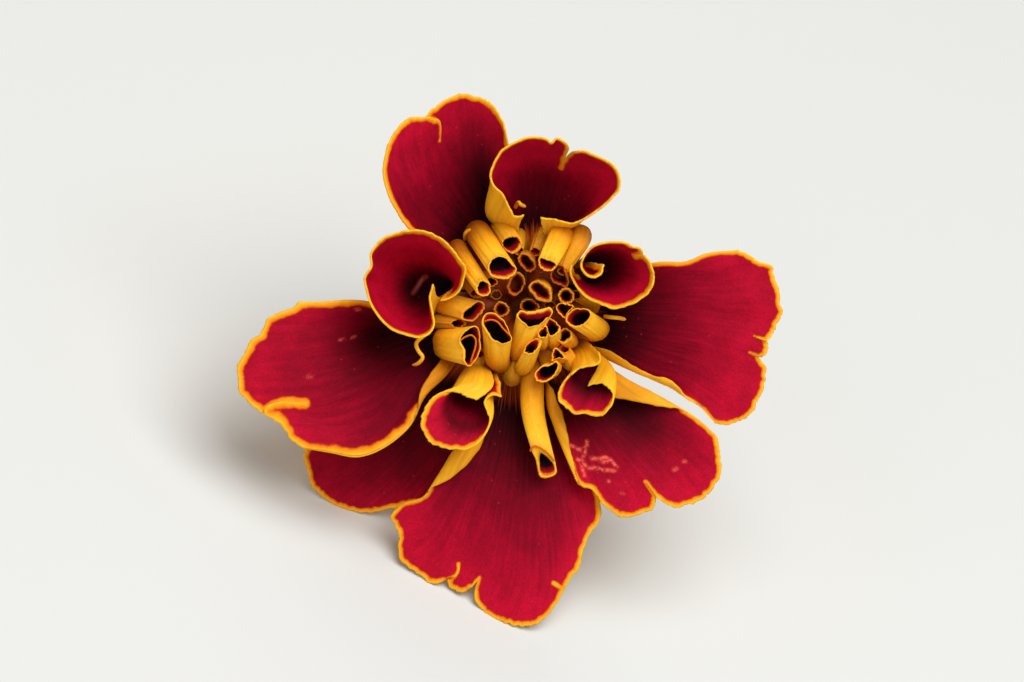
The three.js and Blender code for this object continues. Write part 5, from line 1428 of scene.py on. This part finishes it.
class MARIGOLD_PG_looks(bpy.types.PropertyGroup):
    """Colours of the flower and the studio, as sRGB hex codes"""

    bright: hex_property("Bright red", "Petal upper face near its end", "#BC0A2C")
    red: hex_property("Red", "Petal upper face at mid length", "#7A001A")
    deep: hex_property("Deep red", "Petal upper face nearer the disc", "#42000A")
    # the throat colour is partly the petal's own dark red and is also the colour of the petals' painted shade
    throat: hex_property("Throat", "Petal upper face beside its claw", "#170104")
    claw: hex_property("Claw", "Orange brown of claws and floret bases", "#94340A")
    claw_light: hex_property("Petal claw", "Orange brown upper side of a petal's narrow base", "#DC6C0E")
    dull_base: hex_property("Shaded base", "Foot of the shaded florets in the middle", "#4E2404")
    fleck: hex_property("Flecks", "Scattered pale cells on the red", "#C83040")
    scar: hex_property("Scars", "Healed scratches on two petals", "#F0604A")
    sheen: hex_property("Sheen", "Sheen of the petals' upper face at a slant", "#D01838")
    gold_light: hex_property("Light gold", "Outermost line of the margins", "#FFB52E")
    gold: hex_property("Gold", "Margins and floret walls", "#F59C16")
    amber: hex_property("Amber", "Inner side of the golden margin", "#E0700F")
    ember: hex_property("Ember", "Where the margin turns to red", "#A81A10")
    back: hex_property("Petal back", "Back of the petals", "#EDA012")
    back_light: hex_property("Light petal back", "Back of the petals near their ends", "#FFBE26")
    back_deep: hex_property("Deep petal back", "Back of the petals near the cup", "#C47406")
    back_base: hex_property("Petal back base", "Back of the petals in the cup", "#8A4A0C")
    floret_base: hex_property("Floret base", "Disc florets near their roots", "#B06406")
    dull_lip: hex_property("Shaded lip", "Lips of the shaded florets in the middle", "#C46E10")
    dull: hex_property("Shaded floret", "Walls of the shaded florets in the middle", "#8C4C08")
    bore: hex_property("Bore", "Inside of the disc florets", "#A80A1E")
    # partly painted shade: the near black deep inside the florets
    bore_deep: hex_property("Deep bore", "Deep inside the disc florets", "#1C0406")
    style: hex_property("Style", "Styles", "#D88A18")
    # painted shade: the colour of the style that stands in shade in trumpet a's throat
    old_style: hex_property("Old style", "The withered style", "#4A0C05")
    cup: hex_property("Cup", "Green cup", "#5E7A2C")
    cup_dark: hex_property("Dark cup", "Green cup between its ribs", "#3C5A1E")
    gland: hex_property("Glands", "Oil glands of the cup", "#8A5A1A")
    stem: hex_property("Stem", "Stem", "#6E8436")
    stem_dark: hex_property("Dark stem", "Stem between its ribs", "#4E6426")
    green_light: hex_property("Light green", "Ribs of cup and stem", "#93A552")
    pith: hex_property("Pith", "Cut end of the stem", "#D5DBA2")
    floor: hex_property("Floor", "Studio floor", "#D8D8D4")
    studio: hex_property("Studio light", "Even light from all round", "#EDEFF2")


class MARIGOLD_PG_sizes(bpy.types.PropertyGroup):
    """Sizes of the fine pieces"""

    blade: bpy.props.FloatProperty(
        name="Petal thickness", description="Thickness of a petal's blade, in millimetres", default=0.2, min=0.05)
    tooth: bpy.props.FloatProperty(
        name="Margin teeth", description="How far the petals' margin is toothed, in millimetres", default=0.14, min=0)
    ripple: bpy.props.FloatProperty(
        name="Ripples", description="Height of the ripples near a petal's end, in millimetres", default=0.2, min=0)
    rows: bpy.props.IntProperty(name="Rows", description="Rows of faces along a petal", default=60, min=12)
    column: bpy.props.FloatProperty(
        name="Column", description="Width of a face at a petal's end margin, in millimetres", default=0.16, min=0.05)
    floret_sides: bpy.props.IntProperty(name="Floret sides", description="Faces round a disc floret", default=96,
        min=8)
    style_radius: bpy.props.FloatProperty(
        name="Style radius", description="Radius of a style, in millimetres", default=0.19, min=0.02)


# ---- Operators ------------------------------------------------------------------------------------

MATERIALS = {}
PETAL_SKINS = (petal_upper_material, petal_back_material)
FLORET_SKINS = (floret_outside_material, floret_inside_material)


def made(makers, looks):
    """The makers' materials, each made once."""
    for maker in makers:
        if maker not in MATERIALS:
            MATERIALS[maker] = maker(looks)
    return [MATERIALS[maker] for maker in makers]


def add_petal(context, name, seed, ripple_share=1.0):
    looks, sizes = context.scene.marigold_looks, context.scene.marigold_sizes
    shape = petal_shape(name, seed, sizes, sizes.ripple * ripple_share)
    new_piece(name + "_fine", shape, made(PETAL_SKINS, looks), [name], flatten=True)


class MARIGOLD_OT_petals(bpy.types.Operator):
    """Add the seven broad petals"""

    bl_idname = "marigold.petals"
    bl_label = "Add petals"

    def execute(self, context):
        for number in range(1, 8):
            add_petal(context, f"petal_{number}", 10 * number)
        return {"FINISHED"}


class MARIGOLD_OT_trumpets(bpy.types.Operator):
    """Add the four rolled petals"""

    bl_idname = "marigold.trumpets"
    bl_label = "Add trumpets"

    def execute(self, context):
        for number, letter in enumerate("abcd"):
            add_petal(context, f"trumpet_{letter}", 100 + 10 * number, ripple_share=0.4)
        return {"FINISHED"}


class MARIGOLD_OT_quill(bpy.types.Operator):
    """Add the long quilled floret"""

    bl_idname = "marigold.quill"
    bl_label = "Add quill"

    FOLD_DEPTH = 0.5

    def execute(self, context):
        looks, sides = context.scene.marigold_looks, context.scene.marigold_sizes.floret_sides
        tube = tube_shape(QUILL, QUILL["root"], QUILL["knee"], sides, seed=90)
        shape = join_shapes([tube, fold_shape(QUILL["fold"], self.FOLD_DEPTH, seed=91)])
        new_piece("quill_fine", shape, made(FLORET_SKINS, looks), ["quill_floret"])
        return {"FINISHED"}


class MARIGOLD_OT_disc(bpy.types.Operator):
    """Add the disc florets and the bundle of their bases"""

    bl_idname = "marigold.disc"
    bl_label = "Add disc"

    CORE_RADIUS = 4.0
    CORE_TOP = 2.4
    CORE_RIBS = 12
    ROOT_RING = 2.5
    FOLD_DEPTH = 1.6

    def execute(self, context):
        looks, sizes = context.scene.marigold_looks, context.scene.marigold_sizes
        shapes = []
        for number, floret in enumerate(DISC_FLORETS + [low_floret(*facts) for facts in LOW_FLORETS]):
            x, y, _ = floret["back"]
            shrink = min(0.9, self.ROOT_RING / math.hypot(x, y))
            root, knee = (x * shrink, y * shrink, 0.0), (x * shrink, y * shrink, self.CORE_TOP)
            # the low florets show little, so they get by with half the faces
            sides = sizes.floret_sides if number < len(DISC_FLORETS) else sizes.floret_sides // 2
            shapes.append(tube_shape(floret, root, knee, sides, seed=200 + number))
            if "fold" in floret:
                shapes.append(fold_shape(floret["fold"], self.FOLD_DEPTH, seed=300 + number))
        skins = made(FLORET_SKINS, looks)
        new_piece("disc_florets_fine", join_shapes(shapes), skins, ["disc_florets"])
        new_piece("disc_core_fine", self.core(), skins[:1], ["disc_florets"])
        return {"FINISHED"}

    def core(self):
        """The bases stand close like cells, so the bundle is ribbed round its side."""
        profile = Line([(2.6, -12.3), (self.CORE_RADIUS, -8), (self.CORE_RADIUS, 0), (2.6, 1.4),
            (0.4, self.CORE_TOP)])
        shares = np.linspace(0, 1, 48)
        radii, heights = profile.at(shares).T
        angles = np.linspace(0, 2 * np.pi, 120, endpoint=False)
        ribbed = radii[:, None] * (1 - 0.05 * np.abs(np.sin(self.CORE_RIBS * angles)))
        heights = np.repeat(heights[:, None], len(angles), 1)
        places, faces = turned_mesh(np.stack([ribbed * np.cos(angles), ribbed * np.sin(angles), heights], -1))
        # painted shade: the bundle stands deep between the florets, so it takes the darkest of the shaded browns
        facts = {
            "along_mm": np.repeat(shares, len(angles)) * profile.length, "dull": np.full(len(places), 1.0),
            "across_mm": np.tile(angles * self.CORE_RADIUS, len(shares)), "depth": np.full(len(places), 0.8),
        }
        return places, faces, [0] * len(faces), facts


class MARIGOLD_OT_styles(bpy.types.Operator):
    """Add the thin styles beside and inside the florets"""

    bl_idname = "marigold.styles"
    bl_label = "Add styles"

    def execute(self, context):
        looks, radius = context.scene.marigold_looks, context.scene.marigold_sizes.style_radius
        threads = [thread_shape(course, radius) for course in STYLES]
        # painted shade: the style in trumpet a's throat is drawn dark all over
        threads.append(thread_shape(SHADED_STYLE, 1.5 * radius, dull=1.0))
        new_piece("styles_fine", join_shapes(threads), made([style_material], looks), ["disc_florets"])
        return {"FINISHED"}


class MARIGOLD_OT_cup(bpy.types.Operator):
    """Add the green cup"""

    bl_idname = "marigold.cup"
    bl_label = "Add cup"

    RIBS = 10
    RIB_HEIGHT = 0.16
    TOOTH_HEIGHT = 0.6
    AROUND = 5.5  # radius at which millimetres round the cup are counted
    GLAND_HALF_WIDTH = 0.17
    GLANDS_PER_RIB = 3
    OUTSIDE = [(1.9, -CUP_LENGTH), (2.9, -15.2), (4.2, -13.0), (5.1, -9.5), (5.5, -5.0), (5.65, -2.2),
        (5.62, CUP_RIM)]
    INSIDE = [(5.2, CUP_RIM), (5.0, -3.0), (4.75, -6.0), (4.2, -10.0), (3.1, -12.6)]

    def execute(self, context):
        looks = context.scene.marigold_looks
        outside, inside = Line(self.OUTSIDE), Line(self.INSIDE)
        angles = np.linspace(0, 2 * np.pi, 240, endpoint=False)
        wave = np.cos(self.RIBS * angles)
        rings, glands, alongs = [], [], []
        for line, shares, out in ((outside, np.linspace(0, 1, 80), True), (inside, np.linspace(0, 1, 20), False)):
            for share in shares:
                radius, height = line.at(np.array(share))
                depth = smooth(0.05, 0.3, share) if out else 0.0
                radius = radius + self.RIB_HEIGHT * depth * (np.abs(wave) ** 0.6 * np.sign(wave))
                rim = smooth(0.8, 1.0, share) if out else smooth(0.25, 0.0, share)
                tooth = self.TOOTH_HEIGHT * rim * np.clip(wave, 0, 1)
                rings.append(np.column_stack([radius * np.cos(angles), radius * np.sin(angles), height + tooth]))
                alongs.append(share * outside.length)
                glands.append(self.gland(angles, height) if out else np.zeros(len(angles)))
        places, faces = turned_mesh(np.array(rings))
        facts = {
            "rib": np.tile(0.5 + 0.5 * wave, len(rings)), "gland": np.concatenate(glands),
            "along_mm": np.repeat(alongs, len(angles)), "across_mm": np.tile(angles * self.AROUND, len(rings)),
        }
        skin = green_material(looks, "cup skin, waxy satin green", looks.cup, looks.cup_dark)
        new_piece("cup_fine", (places, faces, [0] * len(faces), facts), [skin], ["cup"])
        return {"FINISHED"}

    def gland(self, angles, height):
        """How far each place of a ring lies on one of the long oil glands between the ribs."""
        spots = np.zeros_like(angles)
        draw = np.random.RandomState(7)
        for rib in range(self.RIBS * 2):
            centre = (rib + 0.5) * np.pi / self.RIBS + draw.uniform(-0.05, 0.05)
            sideways = np.angle(np.exp(1j * (angles - centre))) * self.AROUND / self.GLAND_HALF_WIDTH
            for _ in range(self.GLANDS_PER_RIB):
                middle, half = draw.uniform(-13.0, -2.0), draw.uniform(0.5, 1.3)
                spots = np.maximum(spots, smooth(1.0, 0.5, np.hypot(sideways, (height - middle) / half)))
        return spots


class MARIGOLD_OT_stem(bpy.types.Operator):
    """Add the stub of stem with its cut end"""

    bl_idname = "marigold.stem"
    bl_label = "Add stem"

    TOP_RADIUS = 1.75
    CUT_RADIUS = 1.4
    AROUND = 1.5  # radius at which millimetres round the stem are counted
    OVERLAP = 0.3  # how far the top of the stem stands off the cup's foot
    RIBS = 9
    RIB_HEIGHT = 0.05
    CUT_RINGS = (0.3, 0.7, 0.93)  # shares of the radius at which the cut face has its rings
    CUT_HOLLOW = 0.02  # how far the cut face lies inside its edge

    def execute(self, context):
        looks = context.scene.marigold_looks
        top = -CUP_LENGTH - self.OVERLAP
        angles = np.linspace(0, 2 * np.pi, 96, endpoint=False)
        wave = np.cos(self.RIBS * angles)
        foot = STEM_END[2]
        rings = [self.ring(angles, wave * 0, 0.0, inner, foot + self.CUT_HOLLOW, top) for inner in self.CUT_RINGS]
        ribs = [np.full(len(angles), inner) for inner in self.CUT_RINGS]
        shares = np.linspace(0, 1, 40)
        for share in shares:
            rings.append(self.ring(angles, wave, share, 1.0, foot, top))
            ribs.append(0.5 + 0.5 * wave)
        places, faces = turned_mesh(np.array(rings))
        # the pith fills the cut face: the faces between its rings, and the cap inside the innermost one
        cut_count = (len(self.CUT_RINGS) + 1) * len(angles)
        slots = [1 if max(face) < cut_count and len(face) == 4 else 0 for face in faces]
        slots[-2] = 1
        alongs = np.concatenate([[0] * len(self.CUT_RINGS), shares * (top - foot)])
        facts = {
            "rib": np.concatenate(ribs), "gland": np.zeros(len(places)),
            "along_mm": np.repeat(alongs, len(angles)), "across_mm": np.tile(angles * self.AROUND, len(rings)),
        }
        skin = green_material(looks, "stem skin, waxy ribbed green", looks.stem, looks.stem_dark)
        skins = [skin, *made([pith_material], looks)]
        new_piece("stem_fine", (places, faces, slots, facts), skins, ["stem"], flatten=True)
        return {"FINISHED"}

    def ring(self, angles, wave, share, inner, foot, top):
        bend = (1 - share) ** 2
        radius = self.CUT_RADIUS + (self.TOP_RADIUS - self.CUT_RADIUS) * share**1.5
        out = (radius + self.RIB_HEIGHT * wave - self.RIB_HEIGHT) * inner
        return np.column_stack([
            STEM_END[0] * bend + out * np.cos(angles), STEM_END[1] * bend + out * np.sin(angles),
            np.full(len(angles), foot + (top - foot) * share),
        ])


class MARIGOLD_OT_stage(bpy.types.Operator):
    """Add the floor, the studio lights and the camera"""

    bl_idname = "marigold.stage"
    bl_label = "Add stage"

    FLOOR_HALF = 3.0
    LIGHTS = (  # name, place and size in metres, power in watts
        ("key softbox", (0.10, -0.10, 0.55), 0.5, 3.6),
        ("front fill", (-0.25, -0.55, 0.30), 0.6, 0.8),
        ("back rim", (-0.2, 0.5, 0.35), 0.4, 0.7),
    )
    LIT_PLACE = (0, 0, 0.02)
    STUDIO_STRENGTH = 0.3
    PICTURE_WIDTH = 95.26  # millimetres of the flower's plane across the picture
    PICTURE_CENTRE = (-1.21, -2.88, 5.0)
    DISTANCE = 1.2
    SENSOR = 36.0

    def execute(self, context):
        looks = context.scene.marigold_looks
        self.add_floor(looks)
        for light in self.LIGHTS:
            self.add_light(*light)
        world = bpy.data.worlds.new("studio")
        world.use_nodes = True
        background = world.node_tree.nodes["Background"]
        background.inputs["Color"].default_value = colour(looks.studio)
        background.inputs["Strength"].default_value = self.STUDIO_STRENGTH
        context.scene.world = world
        context.scene.view_settings.view_transform = "Standard"
        self.add_camera(context)
        return {"FINISHED"}

    def add_floor(self, looks):
        half = self.FLOOR_HALF
        mesh = bpy.data.meshes.new("floor")
        mesh.from_pydata([(-half, -half, 0), (half, -half, 0), (half, half, 0), (-half, half, 0)], [], [(0, 1, 2, 3)])
        mesh.materials.append(floor_material(looks))
        floor = bpy.data.objects.new("floor", mesh)
        bpy.context.scene.collection.objects.link(floor)

    def add_light(self, name, place, size, power):
        light = bpy.data.lights.new(name, "AREA")
        light.size, light.energy = size, power
        lamp = bpy.data.objects.new(name, light)
        lamp.location = place
        lamp.rotation_euler = (Vector(self.LIT_PLACE) - Vector(place)).to_track_quat("-Z", "Y").to_euler()
        bpy.context.scene.collection.objects.link(lamp)

    def add_camera(self, context):
        """Looks straight down the flower's own axis, upright as the flower's frame is."""
        data = bpy.data.cameras.new("camera")
        data.sensor_width = self.SENSOR
        data.lens = self.SENSOR * self.DISTANCE / (self.PICTURE_WIDTH * MM)
        data.clip_start, data.clip_end = 0.1, 20.0
        camera = bpy.data.objects.new("camera", data)
        turn = RESTING.to_3x3().normalized()
        centre = RESTING @ Vector(self.PICTURE_CENTRE)
        place = centre + turn @ Vector((0, 0, self.DISTANCE))
        camera.matrix_world = Matrix.Translation(place) @ turn.to_4x4()
        context.scene.collection.objects.link(camera)
        context.scene.camera = camera


class MARIGOLD_PT_panel(bpy.types.Panel):
    """Lists the pieces of the flower"""

    bl_idname = "MARIGOLD_PT_panel"
    bl_label = "Marigold flower"
    bl_space_type = "VIEW_3D"
    bl_region_type = "UI"
    bl_category = "Marigold"

    def draw(self, context):
        for group in (context.scene.marigold_sizes, context.scene.marigold_looks):
            box = self.layout.box()
            for name in group.bl_rna.properties.keys():
                if name not in {"rna_type", "name"}:
                    box.prop(group, name)
        for operator in OPERATORS:
            self.layout.operator(operator.bl_idname)


OPERATORS = (
    MARIGOLD_OT_petals, MARIGOLD_OT_trumpets, MARIGOLD_OT_quill, MARIGOLD_OT_disc, MARIGOLD_OT_styles,
    MARIGOLD_OT_cup, MARIGOLD_OT_stem, MARIGOLD_OT_stage,
)
CLASSES = (MARIGOLD_PG_looks, MARIGOLD_PG_sizes, *OPERATORS, MARIGOLD_PT_panel)


def register():
    for cls in CLASSES:
        bpy.utils.register_class(cls)
    bpy.types.Scene.marigold_looks = bpy.props.PointerProperty(type=MARIGOLD_PG_looks)
    bpy.types.Scene.marigold_sizes = bpy.props.PointerProperty(type=MARIGOLD_PG_sizes)


def unregister():
    del bpy.types.Scene.marigold_looks
    del bpy.types.Scene.marigold_sizes
    for cls in reversed(CLASSES):
        bpy.utils.unregister_class(cls)


def main():
    register()
    bpy.ops.marigold.petals()
    bpy.ops.marigold.trumpets()
    bpy.ops.marigold.quill()
    bpy.ops.marigold.disc()
    bpy.ops.marigold.styles()
    bpy.ops.marigold.cup()
    bpy.ops.marigold.stem()
    bpy.ops.marigold.stage()


if __name__ == "__main__":
    main()
